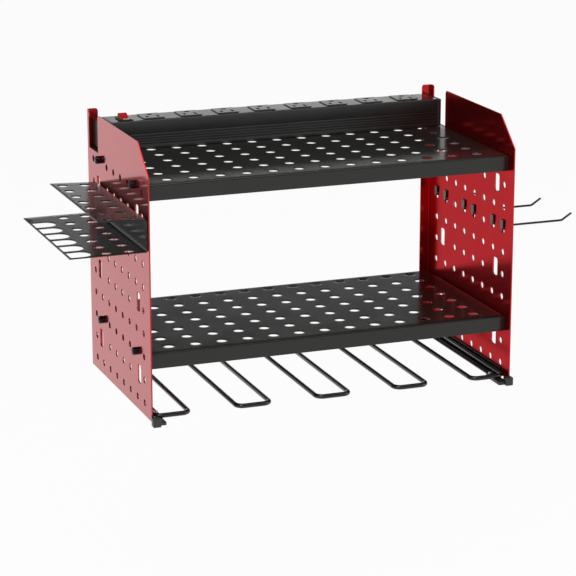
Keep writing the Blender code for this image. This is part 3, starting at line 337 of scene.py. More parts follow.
POWDER_COATS = {
    "red_panel": {
        "colour": (0.51, 0.021, 0.024), "worn": (0.55, 0.20, 0.18), "roughness": 0.20,
        "peel": 520, "specular": 0.2, "metallic": 0.92, "coat": coat_with_shaded_inner_face(0.85, 0.0),
        "tint": (0.8, 0.52, 0.54)},
    "black_sheet": {
        "colour": (0.0145, 0.0145, 0.0125), "worn": (0.10, 0.10, 0.095), "roughness": 0.18,
        "peel": 700, "specular": 0.38},
    "black_wire": {
        "colour": (0.008, 0.008, 0.008), "worn": (0.08, 0.08, 0.08), "roughness": 0.22,
        "peel": 420, "specular": 0.3, "coat": 0.3},
    "black_fastener": {
        "colour": (0.007, 0.007, 0.007), "worn": (0.12, 0.115, 0.11), "roughness": 0.30,
        "peel": 900, "specular": 0.3, "metallic": 0.2},
}
for name, look in POWDER_COATS.items():
    FINISHES[name] = powder_coat(name, **look)
print("powder coats:", *POWDER_COATS)

# %% Moulded plastics
cover_low, cover_high = np.array(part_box("strip_cover"))


def moulded(name, colour, roughness, grain_scale, grain_depth, specular=0.5):
    """Plastic from a textured mould: a fine even grain, slight clouds in colour and gloss."""
    cloud_scale, swing, gain, haze = 35, 0.10, 1.25, 0.002
    finish = Finish(name)
    clouds = finish.noise(cloud_scale)
    light = tuple(part * gain + haze for part in colour)
    roughness = roughness(finish) if callable(roughness) else roughness
    return finish.done(
        Base_Color=finish.mix(clouds, colour, light),
        Roughness=clouds * swing + roughness - swing / 2,
        Specular_IOR_Level=specular,
        Normal=finish.bump(finish.noise(grain_scale, 2), grain_depth),
    )


def polished_top(finish):
    """The strip's top comes from a polished part of the mould, and the rest from a dull one."""
    polished, dull, skin, blur = 0.14, 0.44, 0.0005, 0.0003
    height, edge_of_top = finish.part(finish.place, "Z"), cover_high[2] - skin
    return dull + finish.between(height, edge_of_top - blur, edge_of_top) * (polished - dull)


PLASTICS = {
    "strip_plastic": ((0.008, 0.0085, 0.008), polished_top, 2200, 0.03, 0.6),
    "inner_plastic": ((0.003, 0.003, 0.003), 0.6, 1500, 0.1, 0.1),
    "grey_clip": ((0.016, 0.016, 0.0155), 0.34, 1800, 0.14),
}
for name, look in PLASTICS.items():
    FINISHES[name] = moulded(name, *look)
print("plastics:", *PLASTICS)


# %% Bare metals
def plated(name, colour, roughness):
    """Plated or rolled metal: streaks of unlike gloss over an even colour."""
    streak_scale, cloud_scale, stretch = 600, 80, (1, 1, 0.12)
    shade, glossiest, swing, depth = 0.8, roughness - 0.08, 0.18, 0.06
    finish = Finish(name)
    place = finish.node("ShaderNodeMapping", {}, {"Vector": finish.place, "Scale": stretch})
    streaks = finish.noise(streak_scale, 4, place)
    dull = tuple(part * shade for part in colour)
    return finish.done(
        Base_Color=finish.mix(finish.noise(cloud_scale), dull, colour),
        Roughness=glossiest + streaks * swing,
        Metallic=1.0,
        Normal=finish.bump(streaks, depth),
    )


METALS = {"zinc": ((0.58, 0.58, 0.56), 0.34), "copper_alloy": ((0.66, 0.45, 0.18), 0.30)}
for name, look in METALS.items():
    FINISHES[name] = plated(name, *look)
print("metals:", *METALS)

# %% [markdown]
# The rocker's key is glossy red plastic. Its edges are painted darker, as painted shade along
# the key's sides, and a plain white band near its front end is partly an index mark and partly
# a painted highlight on that end. Both are drawn in the key's own tilted frame, which a Mapping
# node takes from the object's.

# %% The rocker's red
bezel_low, bezel_high = np.array(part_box("rocker_bezel"))
SWITCH_X, SWITCH_Y = (bezel_low[:2] + bezel_high[:2]) / 2
PIVOT_DEPTH, ROCKER_TILT = 0.0022, math.radians(12)
PIVOT_Z = cover_high[2] - PIVOT_DEPTH
ROCKER_HALF_WIDTH, ROCKER_HALF_DEPTH, DARK_RIM = 0.0052, 0.0095, 0.0009
BAR_HALF_WIDTH, BAR_FRONT, BAR_REAR, BAR_BLUR = 0.0040, -0.0092, -0.0070, 0.0001
cloud_scale, grain_scale, grain_depth, rim_shade = 60, 900, 0.04, 0.8
key = Finish("switch_red")
tilted = key.node("ShaderNodeMapping", {"vector_type": "TEXTURE"}, {
    "Vector": key.place, "Location": (SWITCH_X, SWITCH_Y, PIVOT_Z),
    "Rotation": (ROCKER_TILT, 0, 0)})
aside, along = abs(key.part(tilted, "X")), key.part(tilted, "Y")
# Painted shade: the red darkens towards the key's four edges.
rim_painted_shade = key.between(aside, ROCKER_HALF_WIDTH - DARK_RIM, ROCKER_HALF_WIDTH)
rim_painted_shade += key.between(abs(along), ROCKER_HALF_DEPTH - DARK_RIM, ROCKER_HALF_DEPTH)
# The white band is partly an index mark and partly a painted highlight on the key's front end.
white_mark_and_highlight = 1 - key.between(aside, BAR_HALF_WIDTH - BAR_BLUR, BAR_HALF_WIDTH)
white_mark_and_highlight *= key.between(along, BAR_FRONT, BAR_FRONT + BAR_BLUR)
white_mark_and_highlight *= 1 - key.between(along, BAR_REAR - BAR_BLUR, BAR_REAR)
clouds = key.noise(cloud_scale)
red = key.mix(clouds, (0.34, 0.005, 0.007), (0.42, 0.007, 0.009))
red = key.mix(rim_painted_shade * rim_shade, red, (0.10, 0.002, 0.003))
FINISHES["switch_red"] = key.done(
    Base_Color=key.mix(white_mark_and_highlight, red, (0.75, 0.74, 0.72)),
    Roughness=0.22 + clouds * 0.08,
    Specular_IOR_Level=0.4,
    Normal=key.bump(key.noise(grain_scale, 2), grain_depth),
)
print("the switch is", round(SWITCH_X * 1000, 1), "mm from the middle")

# %% Every CAD node gets its finish
for subpart in frame["record"]["subparts"]:
    node = frame["nodes"][subpart["node"]]
    node.data.materials.clear()
    node.data.materials.append(FINISHES[subpart["material_slot"]])
frame["nodes"]["contact_carrier"].data.materials[0] = FINISHES["inner_plastic"]
print("finishes:", ", ".join(FINISHES))

# %% [markdown]
# ## Perforated sheet, cell by cell
#
# A Boolean could punch the holes, but it leaves long thin triangles that shade badly. Instead
# the sheet is divided into cells with one opening each. In a cell, the first parameter goes
# from the opening's rim out to the cell's rectangle and the second goes round, so every hole
# is truly round and has a clean ring of quads about it. Neighbours share the points on their
# common side and weld into one sheet. A cell without an opening closes on its middle point.

# %% A cell with a rounded opening
RINGS = np.array([0.0, 0.16, 0.5, 1.0])
EDGE_WEAR = np.array([1.0, 0.25, 0.0, 0.0])


def rim_side(side, steps, half, radii):
    """One side of a rounded outline: half an arc, a straight run and half the next arc.

    The arcs take their share of the steps by length, but two at least.
    """
    turn = math.radians(90 * side - 90)
    signs = np.array([(-1, -1), (1, -1), (1, 1), (-1, 1)])[[side, (side + 1) % 4]]
    radii = np.array([radii[side], radii[(side + 1) % 4]])
    centres = signs * (np.asarray(half) - radii[:, None])
    straight = np.linalg.norm(centres[1] - centres[0])
    arc_length = radii * math.pi / 4
    bent = np.round(steps * arc_length / (arc_length.sum() + straight))
    bent = np.clip(bent, 2, steps // 2).astype(int)
    bent = bent if straight < WELD else np.minimum(bent, steps // 2 - 1)
    arc = np.concatenate([turn - math.pi / 4 * np.linspace(1, 0, bent[0] + 1),
                          turn + math.pi / 4 * np.linspace(0, 1, bent[1] + 1)])
    which = np.repeat([0, 1], bent + 1)
    on_arcs = centres[which] + radii[which, None] * grid(np.cos(arc), np.sin(arc))
    before, after = on_arcs[:bent[0] + 1], on_arcs[bent[0] + 1:]
    share = np.linspace(0, 1, steps - bent.sum() + 1)[1:-1, None]
    run = before[-1] + (after[0] - before[-1]) * share
    points = [before, run, after] if straight >= WELD else [before, after[1:]]
    return np.concatenate(points)[:-1]


def rim(across, up, centre, half, radii):
    """A rounded outline about a centre, anticlockwise, in steps across and up its sides."""
    radii = np.broadcast_to(radii, 4)
    sides = [rim_side(side, (across, up)[side % 2], half, radii) for side in range(4)]
    return np.asarray(centre) + np.concatenate(sides)


def cell(xs, ys, centre=None, half=(0, 0), radii=0.0):
    """Flat patch from an opening's rim to a rectangle sampled at xs and ys, anticlockwise."""
    outer = np.concatenate([grid(xs[:-1], ys[0]), grid(xs[-1], ys[:-1]),
                            grid(xs[:0:-1], ys[-1]), grid(xs[0], ys[:0:-1])])
    if centre is None:
        inner, wear = np.array([xs[0] + xs[-1], ys[0] + ys[-1]]) / 2, 0.0
    else:
        inner, wear = rim(len(xs) - 1, len(ys) - 1, centre, half, radii), EDGE_WEAR[:, None]
    return inner + (outer - inner) * RINGS[:, None, None], wear, True


def round_hole(centre, radius):
    """A circle as a cell's opening: its centre, its half sizes and the radius of its corners."""
    return centre, (radius, radius), radius


# %% Rows of cells and plain bands
CELL_STEPS = 8


def lines(edges, steps=CELL_STEPS):
    """For each gap between neighbouring edges, steps + 1 evenly spaced places."""
    edges = np.asarray(edges, dtype=float)
    return edges[:-1, None] + np.diff(edges)[:, None] * np.linspace(0, 1, steps + 1)


def joined(*gaps):
    """One row of places from several neighbouring rows that share their end points."""
    return np.concatenate([gaps[0], *[gap[1:] for gap in gaps[1:]]])


def flat_band(xs, low, high, steps=3):
    """A ruled patch: at each x the points go in equal steps from the low to the high edge."""
    low, high = [np.broadcast_to(edge, xs.shape)[:, None] for edge in (low, high)]
    return grid(xs[:, None], low + (high - low) * np.linspace(0, 1, steps + 1)), 0.0, False


# %% [markdown]
# ## Folding by formula
#
# A press brake bends sheet round a radius. Measured along the sheet from where the bend
# starts, the first quarter circle goes down and round, and the rest runs straight down. The
# whole flat pattern, holes and all, is sent through that function.


# %% The press brake
BEND_STEPS = 6


def folded(distance, radius):
    """How far along and how far down a point comes to lie, past the start of a square bend."""
    turn = np.clip(distance / radius, 0, np.pi / 2)
    straight = np.maximum(distance - radius * np.pi / 2, 0)
    return np.minimum(distance, 0) + radius * np.sin(turn), radius * (1 - np.cos(turn)) + straight


def laid(patches, place):
    """Flat patches sent to their places in space by a function of their two coordinates."""
    return [(grid(*place(points[..., 0], points[..., 1])), wear, wrap)
            for points, wear, wrap in patches]


def flat_at(height):
    """The place of a flat pattern that lies level at a height."""
    return lambda x, y: (x, y, height)


print("10 mm past the start of a 2 mm bend:", np.round(folded(0.010, 0.002), 5), "m")

# %% [markdown]
# ## The side panels
#
# Each panel is one sheet: a web full of peg holes on a 25.4 mm grid, six tall windows for
# bolt-on racks, a cut front corner, a notch for the power strip, and a narrow flange folded
# flat against the wall.

# %% Sizes of a side panel
PANEL_FRONT, PANEL_HEIGHT = panel_low[1], panel_high[2]
PANEL_BEND, PANEL_CORNER = 0.0022, 0.003
FLANGE_WIDTH, FLANGE_CORNER = 0.0125, 0.0025
CHAMFER_RUN, CHAMFER_DROP = 0.0361, 0.0318
NOTCH_FLOOR, NOTCH_FRONT, TAB_FRONT = 0.2522, -0.0425, -0.008
COLUMNS, ROWS = 8, 10
PEG_RADIUS, PEG_PITCH, FIRST_PEG_ROW = 0.00375, 0.0254, 0.014
PEG_COLUMNS = PANEL_FRONT / 2 + (np.arange(COLUMNS) - (COLUMNS - 1) / 2) * PEG_PITCH
PEG_ROWS = FIRST_PEG_ROW + np.arange(ROWS) * PEG_PITCH
WINDOW_HALF, WINDOW_CORNER = (0.00575, 0.01025), 0.003
WINDOW_COLUMNS = {6: -0.0408, 1: -0.1836}
WINDOW_ROWS = {1: 0.041, 4: 0.1207, 8: 0.2162}
BOLT_HOLE, BOLT_ROWS = 0.0028, {2: 0.0645, 9: 0.2462}
SCREW_HOLE, SCREW_INSET, SCREW_HEIGHTS = 0.003, 0.007, (0.035, 0.238)
COLUMN_EDGES = (PANEL_FRONT, -0.1933, -0.1622, -0.1376, -0.1122, -0.0868, -0.0622, -0.031,
                TAB_FRONT)
ROW_EDGES = (0, 0.024, 0.056, 0.078, 0.1029, 0.134, 0.1537, 0.1791, 0.201, 0.232, NOTCH_FLOOR)
print("panel", PANEL_FRONT, PANEL_HEIGHT, "peg columns", PEG_COLUMNS.round(4))


# %% Its edges and openings
def rounding(distance, radius):
    """How far a rounded corner's edge lies below the level, this far along from its end."""
    remaining = np.clip(1 - distance / radius, 0, 1)
    return radius * (1 - np.sqrt(1 - remaining ** 2))


def top_edge(y):
    """Height of the web's top edge: level, but for the cut corner and the notch's round one."""
    cut = np.clip((PANEL_FRONT + CHAMFER_RUN - y) / CHAMFER_RUN, 0, 1)
    return PANEL_HEIGHT - CHAMFER_DROP * cut - rounding(NOTCH_FRONT - y, PANEL_CORNER)


def opening(column, row):
    """What is punched into a cell of the web: a window, a bolt hole or a peg hole."""
    if column in WINDOW_COLUMNS and row in WINDOW_ROWS:
        return (WINDOW_COLUMNS[column], WINDOW_ROWS[row]), WINDOW_HALF, WINDOW_CORNER
    if column in WINDOW_COLUMNS and row in BOLT_ROWS:
        return round_hole((PEG_COLUMNS[column], BOLT_ROWS[row]), BOLT_HOLE)
    return round_hole((PEG_COLUMNS[column], PEG_ROWS[row]), PEG_RADIUS)


# %% [markdown]
# The pattern's places along Y must include the point where the cut corner meets the level
# top edge, and a few round the notch's corner, or the outline would cut across them. The
# nearest of the evenly spaced places are moved there, and the cells follow.

# %% The flat web, with its holes
STEPS, CUT_COLUMN, NOTCH_COLUMN = 10, 1, 6
ys, zs = lines(COLUMN_EDGES, STEPS), lines(ROW_EDGES, STEPS)
cut_end, round_start = PANEL_FRONT + CHAMFER_RUN, NOTCH_FRONT - PANEL_CORNER
ys[CUT_COLUMN, np.abs(ys[CUT_COLUMN] - cut_end).argmin()] = cut_end
first = np.abs(ys[NOTCH_COLUMN] - round_start).argmin()
ys[NOTCH_COLUMN, first:first + 3] = NOTCH_FRONT - PANEL_CORNER * np.array([1, 0.3, 0])
web = [cell(ys[column], zs[row], *opening(column, row))
       for column in range(COLUMNS) for row in range(ROWS)]
above = joined(*ys)
before_notch = above[above <= NOTCH_FRONT + WELD]
web.append(flat_band(before_notch, NOTCH_FLOOR, top_edge(before_notch)))
print("cells in the web:", COLUMNS * ROWS)

# %% The tab, the bend and the flange
fold = -PANEL_BEND
bend_end = fold + PANEL_BEND * math.pi / 2
flange_end = bend_end + FLANGE_WIDTH - PANEL_BEND
strip = joined(*lines([TAB_FRONT, fold, bend_end], STEPS))
flange = np.linspace(bend_end, flange_end, STEPS + 1)
heights = joined(*zs)
web.append((grid(strip[:, None], heights), 0.0, False))
screw_y, half_way = bend_end + SCREW_INSET - PANEL_BEND, len(heights) // 2
for part, height in zip((heights[:half_way + 1], heights[half_way:]), SCREW_HEIGHTS):
    web.append(cell(flange, part, *round_hole((screw_y, height), SCREW_HOLE)))
whole_tab = joined(strip, flange)
tab_top = PANEL_HEIGHT - rounding(whole_tab - TAB_FRONT, PANEL_CORNER)
tab_top -= rounding(flange_end - whole_tab, FLANGE_CORNER)
web.append(flat_band(whole_tab, NOTCH_FLOOR, tab_top, 6))


def on_panel(y, z):
    """The web stands on the panel's face, and past the bend the sheet lies along the wall."""
    along, inward = folded(y - fold, PANEL_BEND)
    return PANEL_FACE - inward, fold + along, z


right_web = laid(web, on_panel)
for side, patches in (("right", right_web), ("left", mirrored(right_web))):
    piece(side + "_panel", patches, "red_panel", [side + "_side_panel"],
          thickness=PANEL_SHEET, soften=CUT_EDGE)

# %% [markdown]
# ## The shelves
#
# A shelf is a shallow tray turned upside down, with all four edges folded down and 91 holes
# of 11 mm in its top. The front lip is the broad grey band of the photograph. It spreads a
# little past the bend, so that it fills the corner where the side lip turns away. The rear
# lip is low, since the white ground shows through the holes in front of it.

# %% Sizes and shape of a shelf
SHELF_SHEET, SHELF_BEND = 0.0012, 0.0018
SHELF_LIP, REAR_LIP, LIP_WEAR = 0.017, 0.006, 0.8
HOLE_RADIUS, HOLE_PITCH = 0.0055, 0.0296
REAR_HOLE_ROW = -0.0134
HOLE_COLUMNS = np.arange(-6, 7) * HOLE_PITCH
HOLE_ROWS = REAR_HOLE_ROW - np.arange(6, -1, -1) * HOLE_PITCH


def shelf(name):
    """A tray: a field of round holes, and lips whose points go out and down as they are folded."""
    low, high = np.array(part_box(name))
    flat_half, top = high[0] - SHELF_BEND, high[2]
    flat_front, flat_rear = low[1] + SHELF_BEND, high[1] - SHELF_BEND
    x_edges = np.concatenate([[-flat_half], HOLE_COLUMNS[1:] - HOLE_PITCH / 2, [flat_half]])
    y_edges = np.concatenate([[flat_front], HOLE_ROWS[1:] - HOLE_PITCH / 2, [flat_rear]])
    xs, ys = lines(x_edges), lines(y_edges)
    field = [cell(across, up, *round_hole((x, y), HOLE_RADIUS))
             for across, x in zip(xs, HOLE_COLUMNS) for up, y in zip(ys, HOLE_ROWS)]
    patches = laid(field, flat_at(top))

    bend = SHELF_BEND * math.pi / 2
    round_part = np.linspace(0, bend, BEND_STEPS + 1)
    flat_part = np.linspace(0, SHELF_LIP - SHELF_BEND, 4)[1:]
    out, drop = folded(np.append(round_part, bend + flat_part), SHELF_BEND)
    rear_part = flat_part * REAR_LIP / SHELF_LIP
    rear_drop = folded(np.append(round_part, bend + rear_part), SHELF_BEND)[1]
    wear = np.where(drop == drop[-1], LIP_WEAR, 0.0)
    wide, deep = joined(*xs)[:, None], joined(*ys)[:, None]
    spread = wide * (1 + out / flat_half)
    front_lip = grid(spread, flat_front - out, top - drop)
    side_lip = [(grid(flat_half + out, deep, top - drop)[::-1], wear, False)]
    patches += [(front_lip[:, ::-1], wear[::-1], False),
                (grid(spread, flat_rear + out, top - rear_drop), wear, False)]
    patches += side_lip + mirrored(side_lip)
    piece(name + "_sheet", patches, "black_sheet", [name], thickness=SHELF_SHEET, soften=CUT_EDGE)


for name in ("upper_shelf", "lower_shelf"):
    shelf(name)

# %% [markdown]
# ## The tool rack
#
# A single plate bent twice into a C, hooked on the left panel. Both plates carry two rows of
# round holes, and the longer lower plate has six wide slots along its free edge. The upper
# plate climbs a little towards its own. The pattern is drawn flat from that edge, down the
# web and out again.

# %% Sizes of the tool rack
rack_low, rack_high = np.array(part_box("tool_rack"))
RACK_SHEET, RACK_BEND = 0.0012, 0.0018
RACK_FACE, RACK_HEIGHT = -0.2088, 0.0351
RACK_TOP, RACK_BOTTOM = rack_high[2], rack_high[2] - RACK_HEIGHT
RACK_FRONT, RACK_REAR = rack_low[1], rack_high[1]
UPPER_REACH, LOWER_REACH, UPPER_RISE = 0.053, RACK_FACE - rack_low[0], 0.045
RACK_ROWS, RACK_HOLE, RACK_PITCH = (0.018, 0.0425), 0.00525, 0.0272
FIRST_HOLE, FIRST_SLOT, SLOT_LIP = 0.009, 0.014, 0.0022
RACK_HOLES = RACK_FRONT + FIRST_HOLE + np.arange(7) * RACK_PITCH
SLOTS = RACK_FRONT + FIRST_SLOT + np.arange(6) * RACK_PITCH
SLOT_HALF, SLOT_CORNERS = (0.0118, 0.0116), (0.0105, 0.002, 0.002, 0.0105)
SLOT_REACH, SLOT_SEAM = LOWER_REACH - SLOT_LIP - SLOT_HALF[0], 0.0530
HOLE_SEAM = sum(RACK_ROWS) / 2
print("rack reaches", round(LOWER_REACH * 1000, 1), "mm, slots every", RACK_PITCH * 1000, "mm")

# %% Its flat pattern
hole_edges = np.concatenate([[RACK_FRONT], RACK_HOLES[1:] - RACK_PITCH / 2, [RACK_REAR]])
slot_edges = np.concatenate([[RACK_FRONT], SLOTS[1:] - RACK_PITCH / 2,
                             [SLOTS[-1] + RACK_PITCH / 2, RACK_REAR]])
all_edges = np.unique(np.concatenate([hole_edges, slot_edges]).round(7))
NARROW_GAP = 0.01
rack_lines = joined(*[np.linspace(low, high, CELL_STEPS + 1 if high - low > NARROW_GAP else 3)
                      for low, high in zip(all_edges, all_edges[1:])])


def rack_row(low, high, reach, edges=hole_edges, centres=RACK_HOLES,
             half=(RACK_HOLE, RACK_HOLE), radius=RACK_HOLE):
    """Cells from low to high along the sheet, with an opening in each that has a centre."""
    row = []
    for index, (start, end) in enumerate(zip(edges, edges[1:])):
        across = rack_lines[(rack_lines >= start - WELD) & (rack_lines <= end + WELD)]
        centre = (reach, centres[index]) if index < len(centres) else None
        row.append(cell(np.linspace(low, high, CELL_STEPS + 1), across, centre, half, radius))
    return row


web_start = UPPER_REACH - RACK_BEND
lower_start = web_start + RACK_TOP - RACK_BOTTOM - 2 * RACK_BEND + RACK_BEND * math.pi


def from_web(reach):
    """Place along the flat lower plate of a point this far from the rack's face."""
    return lower_start + reach - RACK_BEND


pattern = rack_row(0, UPPER_REACH - HOLE_SEAM, UPPER_REACH - RACK_ROWS[1])
pattern += rack_row(UPPER_REACH - HOLE_SEAM, web_start, UPPER_REACH - RACK_ROWS[0])
pattern.append((grid(np.linspace(web_start, lower_start, 25)[:, None], rack_lines), 0.0, False))
pattern += rack_row(lower_start, from_web(HOLE_SEAM), from_web(RACK_ROWS[0]))
pattern += rack_row(from_web(HOLE_SEAM), from_web(SLOT_SEAM), from_web(RACK_ROWS[1]))
pattern += rack_row(from_web(SLOT_SEAM), from_web(LOWER_REACH), from_web(SLOT_REACH),
                    slot_edges, SLOTS, SLOT_HALF, SLOT_CORNERS)
print("patches in the pattern:", len(pattern))


# %% Bent into a C
def on_rack(along, y):
    """The flat pattern in its C: out, round a bend, down the web, round the other and out again.

    The upper plate climbs by a fixed slope as it goes outwards.
    """
    forward, drop = folded(along - web_start, RACK_BEND)
    back, rise = folded(lower_start - along, RACK_BEND)
    past_middle = along > (web_start + lower_start) / 2
    x = RACK_FACE - RACK_BEND + np.where(past_middle, back, forward)
    climb = UPPER_RISE * np.maximum(RACK_FACE - RACK_BEND - x, 0)
    return x, y, np.where(past_middle, RACK_BOTTOM + rise, RACK_TOP - drop + climb)


piece("tool_rack_plate", laid(pattern, on_rack), "black_sheet", ["tool_rack"], "tool_rack",
      thickness=RACK_SHEET, soften=CUT_EDGE)

# %% [markdown]
# ## Bent wire
#
# The lower rack is one long wire bent to and fro, and the hooks end in the same kind of rod.
# A tube is a circle carried along a path. Each bend of the path is an arc, and at both ends
# the circle shrinks like half a ball, as a cropped and tumbled wire does.


# %% Paths and tubes
def unit(vectors):
    """Vectors of length one in the same directions."""
    return vectors / np.linalg.norm(vectors, axis=-1, keepdims=True)


def arcs(corners, radius, steps=12):
    """A flat path through corners: at each inner one, points on an arc that touches both legs.

    An arc's centre lies on the line that halves the corner, its radius over the sine of half
    the angle away. Its points blend the two end radii by sines, so that they keep their length.
    """
    corners = np.asarray(corners, dtype=float)
    back, ahead = unit(corners[:-2] - corners[1:-1]), unit(corners[2:] - corners[1:-1])
    half = np.arccos(np.clip((back * ahead).sum(axis=1), -1, 1)) / 2
    centres = corners[1:-1] + unit(back + ahead) * (radius / np.sin(half))[:, None]
    reach = (radius / np.tan(half))[:, None]
    start, end = corners[1:-1] + back * reach - centres, corners[1:-1] + ahead * reach - centres
    share = np.linspace(0, 1, steps + 1)[None, :, None]
    sweep = (np.pi - 2 * half)[:, None, None]
    turned = np.sin((1 - share) * sweep) * start[:, None] + np.sin(share * sweep) * end[:, None]
    bends = centres[:, None] + turned / np.sin(sweep)
    return np.concatenate([corners[:1], bends.reshape(-1, 2), corners[-1:]])


CAP = np.linspace(0, np.pi / 2, 6)[:-1]


def tube(path, radius, up, sides=20):
    """A circle carried along a flat path, with half a ball at each end.

    Its points lie off the path by the width times cosine sideways and sine along up.
    """
    up = np.asarray(up, dtype=float)
    ahead = unit(np.gradient(path, axis=0))
    nose, narrow = (radius * (1 - np.cos(CAP)))[:, None], radius * np.sin(CAP)
    centres = np.concatenate([path[:1] + ahead[:1] * nose, path[1:-1],
                              (path[-1:] - ahead[-1:] * nose)[::-1]])
    ahead = np.concatenate([np.repeat(ahead[:1], len(CAP), axis=0), ahead[1:-1],
                            np.repeat(ahead[-1:], len(CAP), axis=0)])
    widths = np.concatenate([narrow, np.full(len(path) - 2, radius), narrow[::-1]])
    turn = np.linspace(0, 2 * np.pi, sides, endpoint=False)[None, :, None]
    ring = np.cos(turn) * np.cross(ahead, up)[:, None] + np.sin(turn) * up
    return centres[:, None] + widths[:, None, None] * ring, 0.0, True


# %% The serpentine wire rack
WIRE_RADIUS, WIRE_HEIGHT = 0.0026, 0.0041
WIRE_FRONT, WIRE_REAR, WIRE_END = -0.2195, -0.045, -0.018
LOOP_WIDTH, LOOP_BEND, OUTER_LOOP = 0.038, 0.008, 0.1835
LOOPS = np.linspace(-OUTER_LOOP, OUTER_LOOP, 5)
route_x = np.repeat((LOOPS[:, None] + (-LOOP_WIDTH / 2, LOOP_WIDTH / 2)).ravel(), 2)
route_y = np.tile([WIRE_REAR, WIRE_FRONT, WIRE_FRONT, WIRE_REAR], len(LOOPS))
route_y[[0, -1]] = WIRE_END
wire = grid(*arcs(grid(route_x, route_y), LOOP_BEND).T, WIRE_HEIGHT)
piece("drill_wire", [tube(wire, WIRE_RADIUS, (0, 0, 1))], "black_wire", ["drill_rack_wire"])
wire_length = np.linalg.norm(np.diff(wire, axis=0), axis=1).sum()
print("wire length", round(float(wire_length), 3), "m")

# %% The hooks' prongs
PRONG_RADIUS, PRONG_BEND = 0.00125, 0.006
TIP_RUN, TIP_RISE = 0.0122, 0.0076
for place in ("rear", "middle", "front"):
    low, high = np.array(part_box(place + "_hook_prong"))
    height, y, tip = low[2] + PRONG_RADIUS, (low[1] + high[1]) / 2, high[0]
    corners = [(low[0], height), (tip - TIP_RUN, height), (tip, height + TIP_RISE)]
    across, up = arcs(corners, PRONG_BEND).T
    piece(place + "_prong", [tube(grid(across, y, up), PRONG_RADIUS, (0, 1, 0), 16)],
          "black_wire", [place + "_hook_prong"], place + "_hook")

# %% [markdown]
# ## Bolts and nuts
#
# Each shelf hangs on four M5 bolts, with their round heads inside the shelf and a hexagon nut
# outside the panel. As lathe pieces their radius depends on the height, and for a hexagon on
# the angle too: the distance to a flat side is the apothem divided by the cosine of the angle
# from that side's middle. A chamfer cone takes a nut's corners off.


# %% A lathe that knows hexagons
def spun(profile, hexagon=(), apothem=0.0, cone=1.0, sides=48):
    """A profile (radius, height) swept round X by the cosine and sine of the turn.

    The rows named in hexagon keep to its flat sides and inside a chamfer cone.
    """
    profile = np.asarray(profile, dtype=float)
    turn = np.linspace(0, 2 * np.pi, sides, endpoint=False)
    radius = np.repeat(profile[:, :1], sides, axis=1)
    from_flat = (turn + np.pi / 6) % (np.pi / 3) - np.pi / 6
    rows = list(hexagon)
    radius[rows] = np.minimum(radius[rows], np.minimum(apothem / np.cos(from_flat), cone))
    return grid(profile[:, 1:], radius * np.cos(turn), radius * np.sin(turn))[::-1]


# %% A nut and a bolt
bolt_low, bolt_high = np.array(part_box("right_lower_front_bolt"))
nut_low, nut_high = np.array(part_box("right_lower_front_nut"))
NUT_RADIUS, NUT_HEIGHT = 0.0046, nut_high[0] - nut_low[0]
NUT_FACE, NUT_CONE = NUT_RADIUS * 0.93, NUT_RADIUS * 0.97
NUT_CORNER, NUT_BORE = 0.0004, 0.0028
nut = spun([
    (NUT_BORE, 0), (NUT_FACE, 0), (NUT_RADIUS, NUT_CORNER),
    (NUT_RADIUS, NUT_HEIGHT - NUT_CORNER), (NUT_FACE, NUT_HEIGHT),
    (NUT_BORE + NUT_CORNER, NUT_HEIGHT), (NUT_BORE, NUT_HEIGHT - NUT_CORNER), (NUT_BORE, 0),
], (1, 2, 3, 4), NUT_RADIUS * math.cos(math.pi / 6), NUT_CONE)
BOLT_RADIUS, BOLT_LENGTH, BOLT_CHAMFER = 0.0025, bolt_high[0] - bolt_low[0], 0.0004
HEAD_RADIUS, HEAD_HEIGHT, HEAD_CROWN = 0.0044, 0.0025, 0.001
CROWN_INSET, CROWN_DROP = HEAD_CROWN * 0.3, HEAD_CROWN * 0.35
KEY_APOTHEM, KEY_CORNER, KEY_DEPTH = 0.0015, 0.0018, 0.0013
bolt = spun([
    (0, KEY_DEPTH), (KEY_CORNER, KEY_DEPTH), (KEY_CORNER, 0), (HEAD_RADIUS - HEAD_CROWN, 0),
    (HEAD_RADIUS - CROWN_INSET, CROWN_DROP), (HEAD_RADIUS, HEAD_CROWN),
    (HEAD_RADIUS, HEAD_HEIGHT), (BOLT_RADIUS, HEAD_HEIGHT),
    (BOLT_RADIUS, BOLT_LENGTH - BOLT_CHAMFER), (BOLT_RADIUS - BOLT_CHAMFER, BOLT_LENGTH),
    (0, BOLT_LENGTH),
], (1, 2), KEY_APOTHEM)
print("bolt", round(BOLT_LENGTH * 1000, 1), "mm, nut", round(NUT_HEIGHT * 1000, 1), "mm")

# %% Eight of each
for level in ("lower", "upper"):
    for place in ("front", "rear"):
        low, high = np.array(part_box("_".join(("right", level, place, "nut"))))
        y, z = (low[1:] + high[1:]) / 2
        for kind, shape, start in (("nut", nut, nut_low[0]), ("bolt", bolt, bolt_low[0])):
            patch = [(shape + (start, y, z), 0.0, True)]
            for side, patches in (("right", patch), ("left", mirrored(patch))):
                name = "_".join((side, level, place, kind))
                piece(name + "_turned", patches, "black_fastener", [name])

# %% [markdown]
# ## The power strip
#
# The housing has a ribbed base under a smooth cover with rounded shoulders. The cover is
# sheet-like, so it is folded from a flat pattern with one opening for the switch and eight
# for the outlets. The base is a profile carried along X, and flat caps close its two ends.

